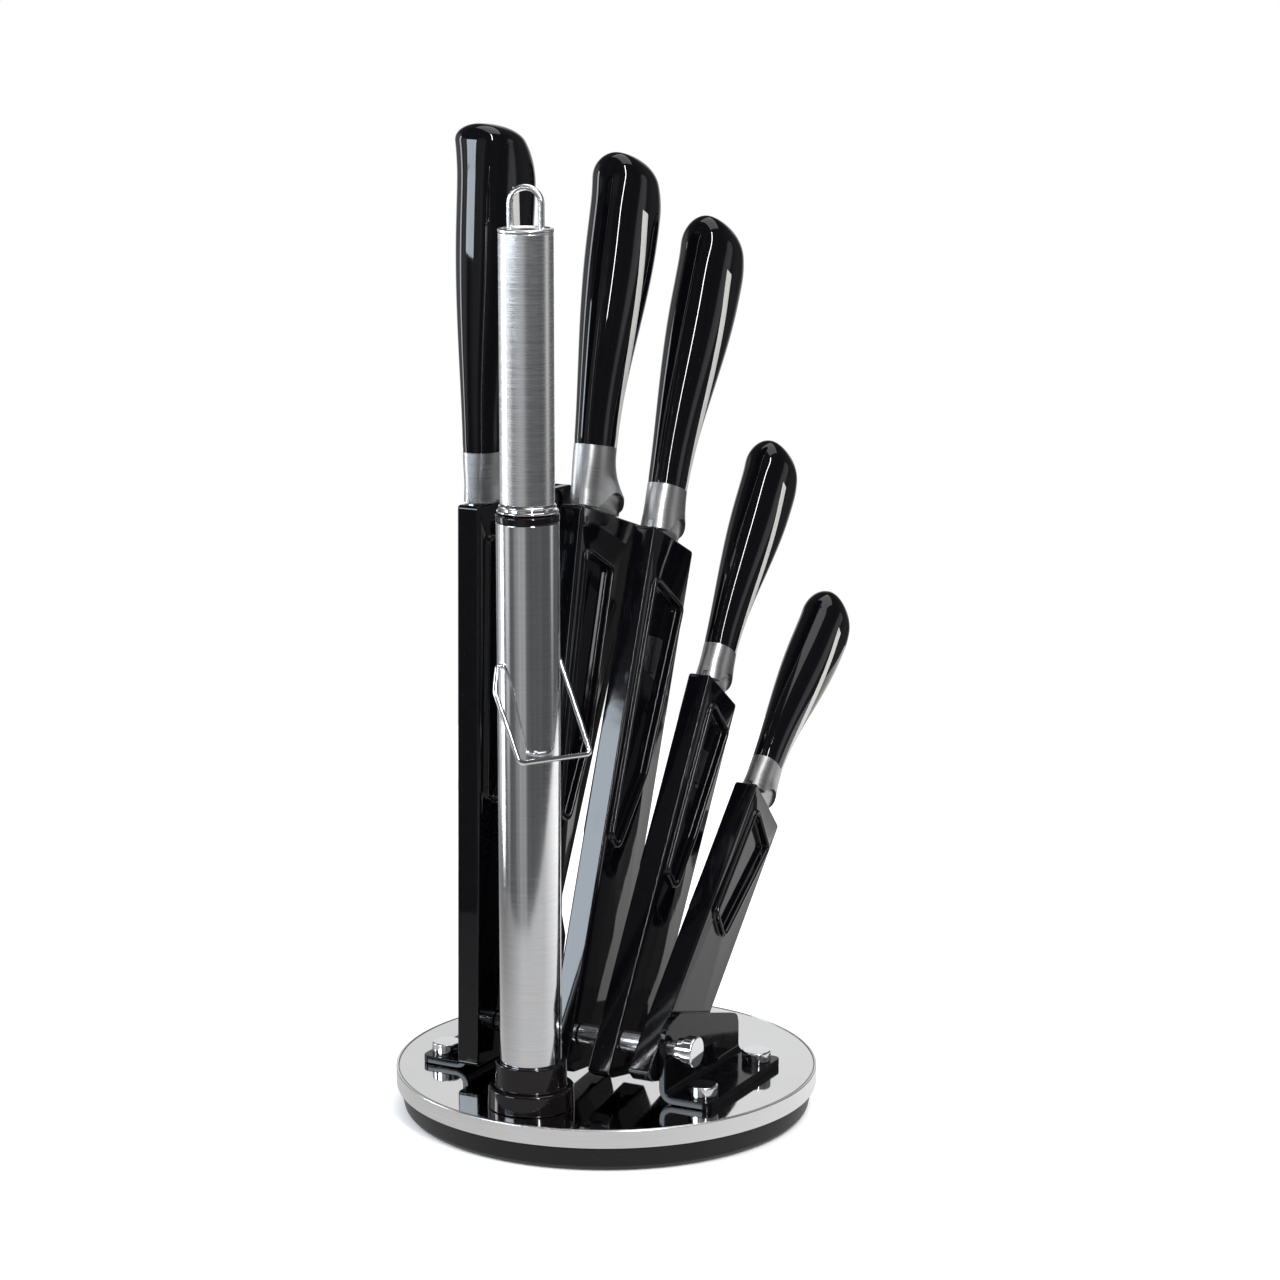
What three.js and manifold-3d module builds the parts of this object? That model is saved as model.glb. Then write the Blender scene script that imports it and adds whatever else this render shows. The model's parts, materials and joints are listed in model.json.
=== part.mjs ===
// Rotating knife stand: a foot with a ball bearing, a round turntable, five sheaths hung on one
// cross rod, five knives, and a steel tube that stores a honing steel. Millimetres, +Z up.
// The origin is the centre of the underside. The cross rod runs along X and the sheaths fan
// towards +Y. A sheath's own frame has Z along the sheath and Y from its spine to its belly.
import * as THREE from 'three';
import { mergeVertices } from 'three/addons/utils/BufferGeometryUtils.js';
import Module from 'manifold-3d';

const wasm = await Module();
wasm.setup();

// ---- driving dimensions ----
const GAP = 0.3; // between pieces that turn, slide or are cut to fit

const BASE_R = 80; // outer radius of the turntable
const PLATE_TOP = 16.8; // height of the turntable's top face
const PLATE_T = 2.4;
const RING_LIP = 0.9; // width of the edge ring seen from above
const RING_H = 6.9; // height of the edge ring
const FOOT_BOTTOM_R = 77;
const FOOT_CLEAR = 0.4; // the foot's rim floats this far above the table
const PAD_R = 60;
const PAD_T = 2;
const RACE_R = 29; // radius of the ball track
const BALL_R = 2.2;
const BALLS = 10;
const PIVOT_R = 3;

const ROD_Y = -28.3;
const ROD_Z = 36.2;
const ROD_R = 3;
const SHEATH_T = 9; // thickness of one sheath
const PITCH = 17.8; // sheath to sheath along the rod
const SHEATHS = 5;
const SLOT_T = 3; // room for the blade inside a sheath
const RIM_W = 2.6; // raised rim round the recess on a sheath's wide face
const RIM_PROUD = 2;
const SHEATH_DROP = 14.5; // sheath below the rod's centre

const BRACKET_IN = 40.4; // inner face of a bracket's upright
const BRACKET_T = 2.7;
const FLANGE_W = 18;
const FLANGE_T = 3;
const BRACKET_FRONT = -35;
const BRACKET_BACK = 26.6;
const BOLT_X = 54.6;
const BOLT_Y = [-27, 18];
const BOLT_HEAD_R = 5.5;
const BOLT_HEAD_H = 4.2;
const BOLT_R = 2.5;
const COLLAR_T = { left: 0.8, right: 2.7 }; // collar between a bracket and its cap nut
const CAP_T = { left: 1.8, right: 4.6 }; // cap nuts; the left one is a low one
const CAP_WALL = { left: 0.8, right: 1 };

const CUP_X = -0.7;
const CUP_Y = -57.3;
const CUP_R = 16;
const CUP_RING_R = 13;
const TUBE_R = 11.4;
const TUBE_WALL = 0.8;
const TUBE_FOOT = 19.3;
const TUBE_TOP = 233.7;
const BAIL_Z = 182.6;
const BAIL_TURN = -27.4; // direction the bail swings out, degrees from +X
const BAIL_TILT = 26; // degrees the resting bail stands away from the tube
const BAIL_WIRE = 0.95;

const STEEL_R = 5;
const GRIP_R = 9.75; // honing steel's handle
const GRIP_WALL = 0.8;
const GRIP_FOOT = 240.2;
const GRIP_TOP = 336;
const LOOP_TOP = 352.8;
const LOOP_HALF = 5.7; // centre line of the hanging loop to its middle
const LOOP_WIRE = 1.15;
const LOOP_TURN = 14; // degrees, the loop's plane round the handle

const BLADE_T = 2.2;
const TANG_RISE = 0.8; // share of the handle's length that the tang runs up
const TANG_FOOT = 0.78; // the tang's middle at the seam, as a share of the handle's depth there
const TANG_DRIFT = 0.25; // how much of that share it loses over the handle's length
const TANG_SLOPE = 1.3; // the tang's end is this much higher on its spine side
const TANG_ROOT = 3; // half the tang's thickness where it leaves the bolster
const BOLSTER_GAP = 0.8; // heel of the blade above the sheath's mouth

// One row per sheath, from the widest knife to the paring knife. lean is in degrees from upright;
// rise and mouth are the spine and belly corners above the rod; spine, belly and belly_low are the
// distances of those edges from the rod; blade and height are the blade's reach below the mouth and
// its height at the heel; seam is where the handle starts and grip its length; neck and swell
// are the handle's depth at the seam and how much its belly grows; thick is its greatest thickness and
// crown the share of its length that rounds over at the butt.
// rim gives the recess: its top and lowest heights, its right-hand reach from the rod, the width of
// its foot, and how far out its right side stands a third of the way up.
const SETS = [
  { lean: 1.1, rise: 197.5, mouth: 197, spine: 15.1, belly: 56, belly_low: 48.5, blade: 185, height: 64,
    seam: 216.5, grip: 118.5, spine_in: 2.4, neck: 22, swell: 15, thick: 23, crown: 0.055,
    rim: [187.8, 84, 38, 9, 0.64] },
  { lean: 11.8, rise: 196, mouth: 191, spine: 5.4, belly: 46, belly_low: 14.5, blade: 150, height: 40,
    seam: 219, grip: 110, spine_in: 4, neck: 21, swell: 13, thick: 22.5, crown: 0.09,
    rim: [181.4, 76, 23, 8.5, 0.64] },
  { lean: 20.3, rise: 192, mouth: 189, spine: 7.6, belly: 27.6, belly_low: 27.6, blade: 172, height: 28,
    seam: 209.5, grip: 106, spine_in: 4.1, neck: 19, swell: 13.5, thick: 22, crown: 0.11,
    rim: [175, 69, 24.9, 8, 0.64] },
  { lean: 31.6, rise: 143.7, mouth: 141.7, spine: 5.3, belly: 23.1, belly_low: 23.1, blade: 122, height: 22,
    seam: 158, grip: 87, spine_in: 3.9, neck: 15.5, swell: 12.5, thick: 19, crown: 0.12,
    rim: [136, 61, 20, 12, 0.45] },
  { lean: 45, rise: 112.4, mouth: 111.3, spine: 5.9, belly: 23.7, belly_low: 23.7, blade: 92, height: 22,
    seam: 127, grip: 81, spine_in: 3.6, neck: 15, swell: 10.5, thick: 18.5, crown: 0.13,
    rim: [106, 52, 20.5, 14, 0.35] },
];

// ---- finishes ----
const finish = (color, roughness, metalness) => {
  return new THREE.MeshStandardMaterial({ color, roughness, metalness });
};
const GLOSS_BLACK = finish(0x0b0b0e, 0.12, 0);
const SATIN_BLACK = finish(0x17171a, 0.45, 0);
const RUBBER = finish(0x101010, 0.85, 0);
const MIRROR_STEEL = finish(0xd9dbdf, 0.05, 1);
const POLISHED = finish(0xd2d4d8, 0.15, 1);
const SATIN_STEEL = finish(0xb9babc, 0.35, 1);
const CHROME = finish(0xe2e4e8, 0.04, 1);

// ---- helpers ----
const rad = THREE.MathUtils.degToRad;

function bare(geometry) {
  const g = geometry.clone();
  g.deleteAttribute('normal');
  g.deleteAttribute('uv');
  return mergeVertices(g, 1e-4);
}

function solid(geometry) {
  const g = bare(geometry);
  return new wasm.Manifold(new wasm.Mesh({
    numProp: 3,
    vertProperties: new Float32Array(g.attributes.position.array),
    triVerts: new Uint32Array(g.index.array),
  }));
}

function shaped(manifold) {
  const out = manifold.getMesh();
  const g = new THREE.BufferGeometry();
  g.setAttribute('position', new THREE.BufferAttribute(out.vertProperties, 3));
  g.setIndex(new THREE.BufferAttribute(out.triVerts, 1));
  g.computeVertexNormals();
  return g;
}

function piece(parent, name, geometry, material, place = [0, 0, 0]) {
  const mesh = new THREE.Mesh(geometry, material.clone());
  mesh.name = name;
  mesh.position.set(...place);
  parent.add(mesh);
  return mesh;
}

// A turned shape about Z from [radius, height] corners listed anticlockwise in the (r, z) plane;
// a profile that starts on the axis also ends there.
function turned(corners, segments = 32) {
  const closed = corners[0][0] === 0 ? corners : [...corners, corners[0]];
  const ring = closed.map(([r, z]) => new THREE.Vector2(r, z));
  return new THREE.LatheGeometry(ring, segments).rotateX(Math.PI / 2);
}

function rod_z(radius, low, high, segments = 20) {
  return new THREE.CylinderGeometry(radius, radius, high - low, segments)
    .rotateX(Math.PI / 2).translate(0, 0, (low + high) / 2);
}

function rod_x(radius, low, high, segments = 20) {
  return new THREE.CylinderGeometry(radius, radius, high - low, segments)
    .rotateZ(Math.PI / 2).translate((low + high) / 2, 0, 0);
}

function ring_x(inner, outer, low, high, segments = 24) {
  const bore = solid(rod_x(inner, low - 1, high + 1, segments));
  return shaped(solid(rod_x(outer, low, high, segments)).subtract(bore));
}

function box(x0, x1, y0, y1, z0, z1) {
  return new THREE.BoxGeometry(x1 - x0, y1 - y0, z1 - z0)
    .translate((x0 + x1) / 2, (y0 + y1) / 2, (z0 + z1) / 2);
}

// A plate in the YZ plane from [y, z] corners, reaching from x0 to x1.
function plate_yz(corners, x0, x1) {
  const outline = new THREE.Shape(corners.map(([y, z]) => new THREE.Vector2(y, z)));
  return new THREE.ExtrudeGeometry(outline, { depth: x1 - x0, bevelEnabled: false, curveSegments: 6 })
    .applyMatrix4(new THREE.Matrix4().set(0, 0, 1, x0, 1, 0, 0, 0, 0, 1, 0, 0, 0, 0, 0, 1));
}

// A round wire along points joined by a smooth curve.
function wire(points, radius, steps, tension = 0.2, sides = 10) {
  const nodes = points.map((p) => new THREE.Vector3(...p));
  const path = new THREE.CatmullRomCurve3(nodes, false, 'catmullrom', tension);
  const section = new THREE.Shape();
  section.absarc(0, 0, radius, 0, Math.PI * 2, false);
  return new THREE.ExtrudeGeometry(section, {
    extrudePath: path, steps, bevelEnabled: false, curveSegments: sides / 2,
  });
}

// ---- foot and bearing ----
function grip_pad() {
  return turned([[0, 0], [PAD_R - 0.6, 0], [PAD_R, 0.6], [PAD_R, PAD_T], [0, PAD_T]], 40);
}

function foot_pan() {
  const top = PLATE_TOP - RING_H - GAP;
  const floor = PAD_T + 2;
  return turned([
    [PIVOT_R + GAP, floor + 0.2], [6.8, floor + 0.2], [6.8, PAD_T + GAP / 3], [PAD_R + GAP, PAD_T + GAP / 3],
    [PAD_R + GAP, FOOT_CLEAR], [FOOT_BOTTOM_R - 1.6, FOOT_CLEAR], [FOOT_BOTTOM_R - 0.3, 1],
    [FOOT_BOTTOM_R + 0.4, 2.4],
    [BASE_R - 1.4, top], [BASE_R - 3.8, top], [BASE_R - 5.6, floor], [9, floor], [9, 10.4],
    [PIVOT_R + GAP, 10.4],
  ], 48);
}

function lower_race() {
  const z = PAD_T + 2 + 0.1;
  return turned([
    [RACE_R - 5, z], [RACE_R + 5, z], [RACE_R + 5, z + 2.6], [RACE_R + 2.2, z + 2.6],
    [RACE_R, z + 1.4], [RACE_R - 2.2, z + 2.6], [RACE_R - 5, z + 2.6],
  ], 32);
}

function ball_ring() {
  const z = PAD_T + 2 + 0.1 + 1.4 + GAP + BALL_R + 0.5;
  let ring = solid(turned([
    [RACE_R - 3.4, z - 0.5], [RACE_R + 3.4, z - 0.5], [RACE_R + 3.4, z + 0.5], [RACE_R - 3.4, z + 0.5],
  ], 32));
  for (let i = 0; i < BALLS; i += 1) {
    const turn = (i / BALLS) * Math.PI * 2;
    const ball = new THREE.SphereGeometry(BALL_R, 8, 6)
      .translate(RACE_R * Math.cos(turn), RACE_R * Math.sin(turn), z);
    ring = ring.add(solid(ball));
  }
  return shaped(ring);
}

function upper_race() {
  const top = PLATE_TOP - PLATE_T - 0.1;
  return turned([
    [PIVOT_R + GAP, 10.8], [RACE_R - 5, 10.8], [RACE_R - 3.4, 10.4], [RACE_R - 1.6, 11.4],
    [RACE_R + 1.6, 11.4],
    [RACE_R + 3.4, 10.4], [RACE_R + 5, 10.8], [RACE_R + 5, top], [RACE_R + 3, top], [RACE_R + 3, 12],
    [PIVOT_R + GAP, 12],
  ], 32);
}

function pivot_screw() {
  const low = PAD_T + GAP;
  return turned([[0, low], [6.2, low], [6.2, 4], [PIVOT_R, 4], [PIVOT_R, 14], [0, 14]], 20);
}

function pivot_nut() {
  const hexagon = solid(rod_z(5.6, 12.3, 14.2, 6));
  return shaped(hexagon.subtract(solid(rod_z(PIVOT_R + GAP / 2, 12, 15, 20))));
}

// ---- turntable ----
function turntable_plate() {
  const low = PLATE_TOP - PLATE_T;
  const edge = BASE_R - RING_LIP - GAP / 2;
  let plate = solid(turned([
    [0, low], [edge, low], [edge, PLATE_TOP - 0.3], [edge - 0.3, PLATE_TOP], [0, PLATE_TOP],
  ], 60));
  for (const side of [-1, 1]) {
    for (const y of BOLT_Y) {
      const hole = rod_z(BOLT_R + GAP, low - 1, PLATE_TOP + 1).translate(side * BOLT_X, y, 0);
      plate = plate.subtract(solid(hole));
    }
  }
  return shaped(plate.subtract(solid(rod_z(2.1, low - 1, PLATE_TOP + 1).translate(CUP_X, CUP_Y, 0))));
}

function edge_ring() {
  const low = PLATE_TOP - RING_H;
  const inner = BASE_R - RING_LIP;
  const under = PLATE_TOP - PLATE_T - 0.1;
  return turned([
    [inner - 0.4, low], [BASE_R - 0.5, low], [BASE_R, low + 0.5], [BASE_R, PLATE_TOP - 0.6],
    [BASE_R - 0.5, PLATE_TOP - 0.05], [inner, PLATE_TOP], [inner, under], [inner - 4, under],
    [inner - 4, under - 1], [inner - 0.4, under - 1],
  ], 60);
}

function bracket(side) {
  const low = PLATE_TOP;
  const top = low + FLANGE_T;
  const upright = solid(plate_yz([
    [BRACKET_FRONT, low], [BRACKET_BACK, low], [BRACKET_BACK, 32], [BRACKET_BACK - 1.4, 34.4],
    [BRACKET_BACK - 4, 35.6],
    [-20.6, 47.8], [-24, 48], [-31.4, 46.2], [-34.4, 44.6], [BRACKET_FRONT, 42.6],
  ], BRACKET_IN, BRACKET_IN + BRACKET_T));
  const reach = BRACKET_IN + BRACKET_T + FLANGE_W;
  const round = 3;
  const flange_outline = new THREE.Shape();
  flange_outline.moveTo(BRACKET_IN, BRACKET_FRONT);
  flange_outline.lineTo(reach - round, BRACKET_FRONT);
  flange_outline.absarc(reach - round, BRACKET_FRONT + round, round, -Math.PI / 2, 0, false);
  flange_outline.absarc(reach - round, BRACKET_BACK - round, round, 0, Math.PI / 2, false);
  flange_outline.lineTo(BRACKET_IN, BRACKET_BACK);
  const flange = new THREE.ExtrudeGeometry(flange_outline, {
    depth: FLANGE_T, bevelEnabled: false, curveSegments: 4,
  }).translate(0, 0, low);
  let body = upright.add(solid(flange));
  body = body.subtract(solid(rod_x(ROD_R + GAP, BRACKET_IN - 2, BRACKET_IN + 8).translate(0, ROD_Y, ROD_Z)));
  for (const y of BOLT_Y) {
    body = body.subtract(solid(rod_z(BOLT_R + GAP, low - 1, top + 1).translate(BOLT_X, y, 0)));
  }
  return side < 0 ? mirrored(shaped(body)) : shaped(body);
}

// The left-hand copy of a right-hand piece: its mirror image in the YZ plane.
function mirrored(geometry) {
  const g = bare(geometry).scale(-1, 1, 1);
  const index = g.index.array;
  for (let i = 0; i < index.length; i += 3) {
    [index[i + 1], index[i + 2]] = [index[i + 2], index[i + 1]];
  }
  return g;
}

function bracket_bolt() {
  const seat = PLATE_TOP + FLANGE_T;
  return turned([
    [0, PLATE_TOP - PLATE_T - 1.5], [BOLT_R, PLATE_TOP - PLATE_T - 1.5], [BOLT_R, seat], [BOLT_HEAD_R, seat],
    [BOLT_HEAD_R, seat + BOLT_HEAD_H - 0.6], [BOLT_HEAD_R - 0.6, seat + BOLT_HEAD_H], [0, seat + BOLT_HEAD_H],
  ], 20);
}

// How far a cap nut's open end stands from the middle.
function cap_start(label) {
  return BRACKET_IN + BRACKET_T + 0.2 + COLLAR_T[label];
}

function cross_rod() {
  const end = (label) => cap_start(label) + CAP_T[label] - CAP_WALL[label] - 0.5;
  return rod_x(ROD_R, -end('left'), end('right'), 24);
}

function cap_nut(label) {
  const start = cap_start(label);
  const body = solid(rod_x(5.8, start, start + CAP_T[label], 24));
  const bottom = start + CAP_T[label] - CAP_WALL[label];
  return shaped(body.subtract(solid(rod_x(ROD_R + 0.1, start - 1, bottom, 24))));
}

// ---- holder for the honing steel ----
function holder_cup() {
  const low = PLATE_TOP;
  const floor = TUBE_FOOT - 0.2;
  const bore = TUBE_R + 0.2;
  return turned([
    [2.1, low], [CUP_R, low], [CUP_R, low + 6.6], [CUP_R - 0.9, low + 7.6], [CUP_RING_R + 0.6, low + 7.8],
    [CUP_RING_R, low + 8.6], [CUP_RING_R, low + 16.4], [CUP_RING_R - 0.6, low + 17.2], [bore, low + 17.2],
    [bore, floor], [2.1, floor],
  ], 28);
}

function cup_screw() {
  const under = PLATE_TOP - PLATE_T;
  const top = TUBE_FOOT - 0.4;
  return turned([[0, under - 2], [3.6, under - 2], [3.6, under], [1.8, under], [1.8, top], [0, top]], 16);
}

function holder_tube() {
  const inner = TUBE_R - TUBE_WALL;
  const wall = solid(turned([
    [inner, TUBE_FOOT], [TUBE_R, TUBE_FOOT], [TUBE_R, TUBE_TOP], [inner, TUBE_TOP],
  ], 32));
  const holes = solid(rod_z(BAIL_WIRE + 0.5, -TUBE_R - 2, TUBE_R + 2, 12).rotateX(Math.PI / 2)
    .rotateZ(rad(BAIL_TURN)).translate(0, 0, BAIL_Z));
  return shaped(wall.subtract(holes));
}

function tube_collar() {
  const inner = TUBE_R - TUBE_WALL;
  return turned([
    [9.6, TUBE_TOP - 5], [inner - 0.1, TUBE_TOP - 5], [inner - 0.1, TUBE_TOP + 0.1],
    [TUBE_R + 0.1, TUBE_TOP + 0.1],
    [TUBE_R + 0.2, TUBE_TOP + 0.7], [TUBE_R + 0.2, TUBE_TOP + 2.4], [TUBE_R - 0.5, TUBE_TOP + 3],
    [9.6, TUBE_TOP + 3],
  ], 28);
}

// The bail lies in its own frame: X swings out from the tube, Y is the hinge line, Z is up.
function bail_wire() {
  const tilt = rad(BAIL_TILT);
  const at = (reach, along) => [reach * Math.sin(tilt), along, -reach * Math.cos(tilt)];
  const hook = TUBE_R + 1.7;
  return wire([
    at(0, -TUBE_R + 1.6), at(0, -hook + 0.5), at(1.2, -hook), at(9, -16.8), at(33.6, -14.6), at(35.4, -13.4),
    at(36.2, 15.2), at(34.8, 16.6), at(1.2, hook), at(0, hook - 0.5), at(0, TUBE_R - 1.6),
  ], BAIL_WIRE, 44, 0.12, 8);
}

// ---- honing steel ----
function honing_rod() {
  const tip = TUBE_FOOT + 12;
  const top = GRIP_FOOT + 30;
  return turned([[0, tip], [STEEL_R - 1.5, tip], [STEEL_R, tip + 3], [STEEL_R, top], [0, top]], 20);
}

function honing_ferrule() {
  const low = TUBE_TOP + 3 + GAP;
  return turned([
    [STEEL_R + 0.1, low], [TUBE_R - 1, low], [TUBE_R - 0.4, low + 0.7], [TUBE_R - 1, low + 1.4],
    [GRIP_R - 0.6, low + 1.6],
    [GRIP_R + 0.2, GRIP_FOOT - 0.8], [GRIP_R, GRIP_FOOT - 0.1], [STEEL_R + 0.1, GRIP_FOOT - 0.1],
  ], 28);
}

function honing_handle() {
  const inner = GRIP_R - GRIP_WALL;
  return turned([[inner, GRIP_FOOT], [GRIP_R, GRIP_FOOT], [GRIP_R, GRIP_TOP], [inner, GRIP_TOP]], 28);
}

function honing_cap() {
  const inner = GRIP_R - GRIP_WALL - 0.1;
  const cap = solid(turned([
    [0, GRIP_TOP - 4], [inner, GRIP_TOP - 4], [inner, GRIP_TOP + 0.1], [GRIP_R + 0.1, GRIP_TOP + 0.1],
    [GRIP_R + 0.2, GRIP_TOP + 0.8], [GRIP_R - 0.4, GRIP_TOP + 1.5], [0, GRIP_TOP + 1.7],
  ], 28));
  let cut = cap;
  for (const side of [-1, 1]) {
    const hole = rod_z(LOOP_WIRE + 0.1, GRIP_TOP - 2, GRIP_TOP + 4, 12).translate(side * LOOP_HALF, 0, 0);
    cut = cut.subtract(solid(hole.rotateZ(rad(LOOP_TURN))));
  }
  return shaped(cut);
}

function hanging_loop() {
  const foot = GRIP_TOP - 1.7;
  const spring = LOOP_TOP - LOOP_WIRE - LOOP_HALF;
  const points = [[-LOOP_HALF, 0, foot], [-LOOP_HALF, 0, spring - 4]];
  for (let i = 0; i <= 8; i += 1) {
    const turn = Math.PI - (i / 8) * Math.PI;
    points.push([LOOP_HALF * Math.cos(turn), 0, spring + LOOP_HALF * Math.sin(turn)]);
  }
  points.push([LOOP_HALF, 0, spring - 4], [LOOP_HALF, 0, foot]);
  return wire(points, LOOP_WIRE, 28, 0.5, 8).rotateZ(rad(LOOP_TURN));
}

// ---- sheaths ----
function sheath_outline(row) {
  const foot_z = PLATE_TOP + 2.6 - ROD_Z;
  const low_corner = (foot_z + row.belly_low * Math.sin(rad(row.lean))) / Math.cos(rad(row.lean));
  const corners = [[-row.spine, -SHEATH_DROP], [0, -SHEATH_DROP]];
  corners.push([row.belly_low, Math.max(-SHEATH_DROP, low_corner)]);
  if (row.belly_low < 20) {
    corners.push([row.belly_low, 34], [8, 46]);
  }
  corners.push([row.belly, row.mouth], [-row.spine, row.rise]);
  return corners;
}

// Corners moved in from a closed outline, listed anticlockwise, by the same distance on every side.
function inset(corners, distance) {
  return corners.map((corner, i) => {
    const before = corners[(i + corners.length - 1) % corners.length];
    const after = corners[(i + 1) % corners.length];
    const a = new THREE.Vector2(corner[0] - before[0], corner[1] - before[1]).normalize();
    const b = new THREE.Vector2(after[0] - corner[0], after[1] - corner[1]).normalize();
    const scale = distance / (1 + a.dot(b));
    return [corner[0] - (a.y + b.y) * scale, corner[1] + (a.x + b.x) * scale];
  });
}

// The recess's outline: parallel to the spine on one side, sloping under the mouth at the top, and
// running in to a short edge at the bottom.
function rim_outline(row) {
  const [top, low, reach, foot, knee] = row.rim;
  const left = -row.spine + 3;
  const drop = (reach - left) * 0.27;
  return [
    [left, low + 4.5], [left + foot, low],
    [left + foot + (reach - left - foot) * knee, low + (top - low) * 0.3],
    [reach, top - drop], [left + 1.5, top],
  ];
}

function sheath_rim(row, face, out) {
  const outer = solid(plate_yz(rim_outline(row), face - 0.5, out));
  return outer.subtract(solid(plate_yz(inset(rim_outline(row), RIM_W), face - 2, out + 1)));
}

function rod_hole(low, high) {
  return solid(rod_x(ROD_R + GAP, low, high, 24));
}

// The cover is the right-hand wall of the sheath; the tray is the left-hand wall with the rails
// that leave the slot. Both carry a raised rim and are bored for the cross rod.
function sheath_cover(row) {
  const face = SHEATH_T / 2;
  const inner = SLOT_T / 2 + GAP / 2;
  const wall = solid(plate_yz(sheath_outline(row), inner, face));
  return shaped(wall.add(sheath_rim(row, face, face + RIM_PROUD)).subtract(rod_hole(inner - 2, face + 2)));
}

function slot_outline(row) {
  const rail = 2.2;
  const tip = row.mouth - row.blade - 4;
  const narrow = row.belly_low < 20 ? 10 : row.belly_low - rail;
  return [
    [-row.spine + rail, tip], [narrow - 1, tip + (row.belly_low < 20 ? 6 : 0)],
    [row.belly - rail, row.mouth], [row.belly - rail, row.rise + 5], [-row.spine + rail, row.rise + 5],
  ];
}

function sheath_tray(row) {
  const face = SHEATH_T / 2;
  const inner = SLOT_T / 2 - GAP / 2;
  const block = solid(plate_yz(sheath_outline(row), -face, inner));
  const slot = solid(plate_yz(slot_outline(row), -SLOT_T / 2, inner + 1));
  const rim = sheath_rim(row, face, face + RIM_PROUD);
  const left_rim = solid(mirrored(shaped(rim)));
  return shaped(block.subtract(slot).add(left_rim).subtract(rod_hole(-face - 4, inner + 2)));
}

// ---- knives ----
const smooth = (f) => {
  const t = Math.min(Math.max(f, 0), 1);
  return t * t * (3 - 2 * t);
};

// Spine, belly and thickness of a handle a fraction f of the way from its seam to its butt.
function grip_section(row, f) {
  const spine = -row.spine + row.spine_in;
  const belly = spine + row.neck;
  const close = Math.sqrt(Math.max(0, 1 - Math.max(0, (f - 1 + row.crown) / row.crown) ** 2));
  const fall = Math.sqrt(Math.max(0, 1 - Math.max(0, (f - 0.8) / 0.2) ** 2));
  const peak = spine + 6;
  const back = spine - 1.6 * Math.sin(Math.PI * Math.min(1, f / 0.85));
  const front = belly + row.swell * smooth(f / 0.84);
  const neck_thick = row.thick * 0.6;
  return {
    spine: peak + (back - peak) * close,
    belly: peak + (front - peak) * fall,
    thick: (neck_thick + (row.thick - neck_thick) * smooth(f / 0.7)) * Math.max(close, 0.05),
  };
}

// A body lofted through sections across Z: a capped cylinder whose rings are moved to each section.
function lofted(section_at, low, high, rings, sides, power) {
  const g = bare(new THREE.CylinderGeometry(1, 1, 1, sides, rings).rotateX(Math.PI / 2));
  const p = g.attributes.position;
  for (let i = 0; i < p.count; i += 1) {
    const f = Math.sin((p.getZ(i) + 0.5) * Math.PI / 2);
    const s = section_at(Math.min(f, 0.9995));
    const turn = Math.atan2(p.getY(i), p.getX(i));
    const reach = Math.hypot(p.getX(i), p.getY(i));
    const cx = Math.sign(Math.cos(turn)) * Math.abs(Math.cos(turn)) ** power;
    const cy = Math.sign(Math.sin(turn)) * Math.abs(Math.sin(turn)) ** power;
    p.setXYZ(i, reach * cx * s.thick / 2, (s.spine + s.belly) / 2 + reach * cy * (s.belly - s.spine) / 2,
      low + (high - low) * f);
  }
  return g;
}

function grip(row) {
  return solid(lofted((f) => grip_section(row, f), row.seam, row.seam + row.grip, 10, 14, 0.85));
}

// The tang: a bar that runs up the middle of the handle and shows as a strip on both its sides.
function tang(row, extra) {
  const left = [];
  const right = [];
  for (let i = 0; i <= 6; i += 1) {
    const f = (i / 6) * TANG_RISE;
    const middle = -row.spine + row.spine_in + row.neck * (TANG_FOOT - TANG_DRIFT * f);
    const half = (row.neck * (2.2 - 0.9 * f)) / 19 + extra;
    const z = row.seam + row.grip * f + (i === 0 ? -1 : extra * (i / 6));
    left.unshift([middle - half, z + (i === 6 ? TANG_SLOPE : 0)]);
    right.push([middle + half, z]);
  }
  return solid(plate_yz([...right, ...left], -20, 20));
}

function knife_handle(row) {
  return shaped(grip(row).subtract(tang(row, GAP)));
}

// Blade, bolster and tang are one forging.
function knife_blade(row) {
  const spine = -row.spine + row.spine_in;
  const foot = row.rise + BOLSTER_GAP;
  const tip = row.mouth - row.blade;
  const heel = spine + row.height;
  const blade = solid(plate_yz([
    [spine, foot + 8], [spine, tip + 6], [spine + 2, tip], [spine + 4, tip],
    [spine + row.height * 0.5, row.mouth - row.blade * 0.62], [heel - 1.5, row.mouth - 20],
    [heel, foot], [spine + 12, foot + 8],
  ], -BLADE_T / 2, BLADE_T / 2));
  const neck = grip_section(row, 0);
  const flare = Math.min(heel - 2, neck.belly + 11);
  const bolster = solid(lofted((f) => ({
    spine,
    belly: flare + (neck.belly - flare) * smooth(f * 1.5),
    thick: 7 + (neck.thick - 7) * smooth(f * 1.3),
  }), foot + 1, row.seam - GAP, 5, 14, 0.85));
  const bar = grip(row).intersect(tang(row, 0));
  const root_at = neck.spine + row.neck * TANG_FOOT;
  const root = solid(box(-TANG_ROOT, TANG_ROOT, root_at - 0.08 * row.neck, root_at + 0.08 * row.neck,
    row.seam - 2, row.seam + 1));
  return shaped(blade.add(bolster).add(bar).add(root));
}

// ---- assembly ----
const stand = new THREE.Group();

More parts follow.
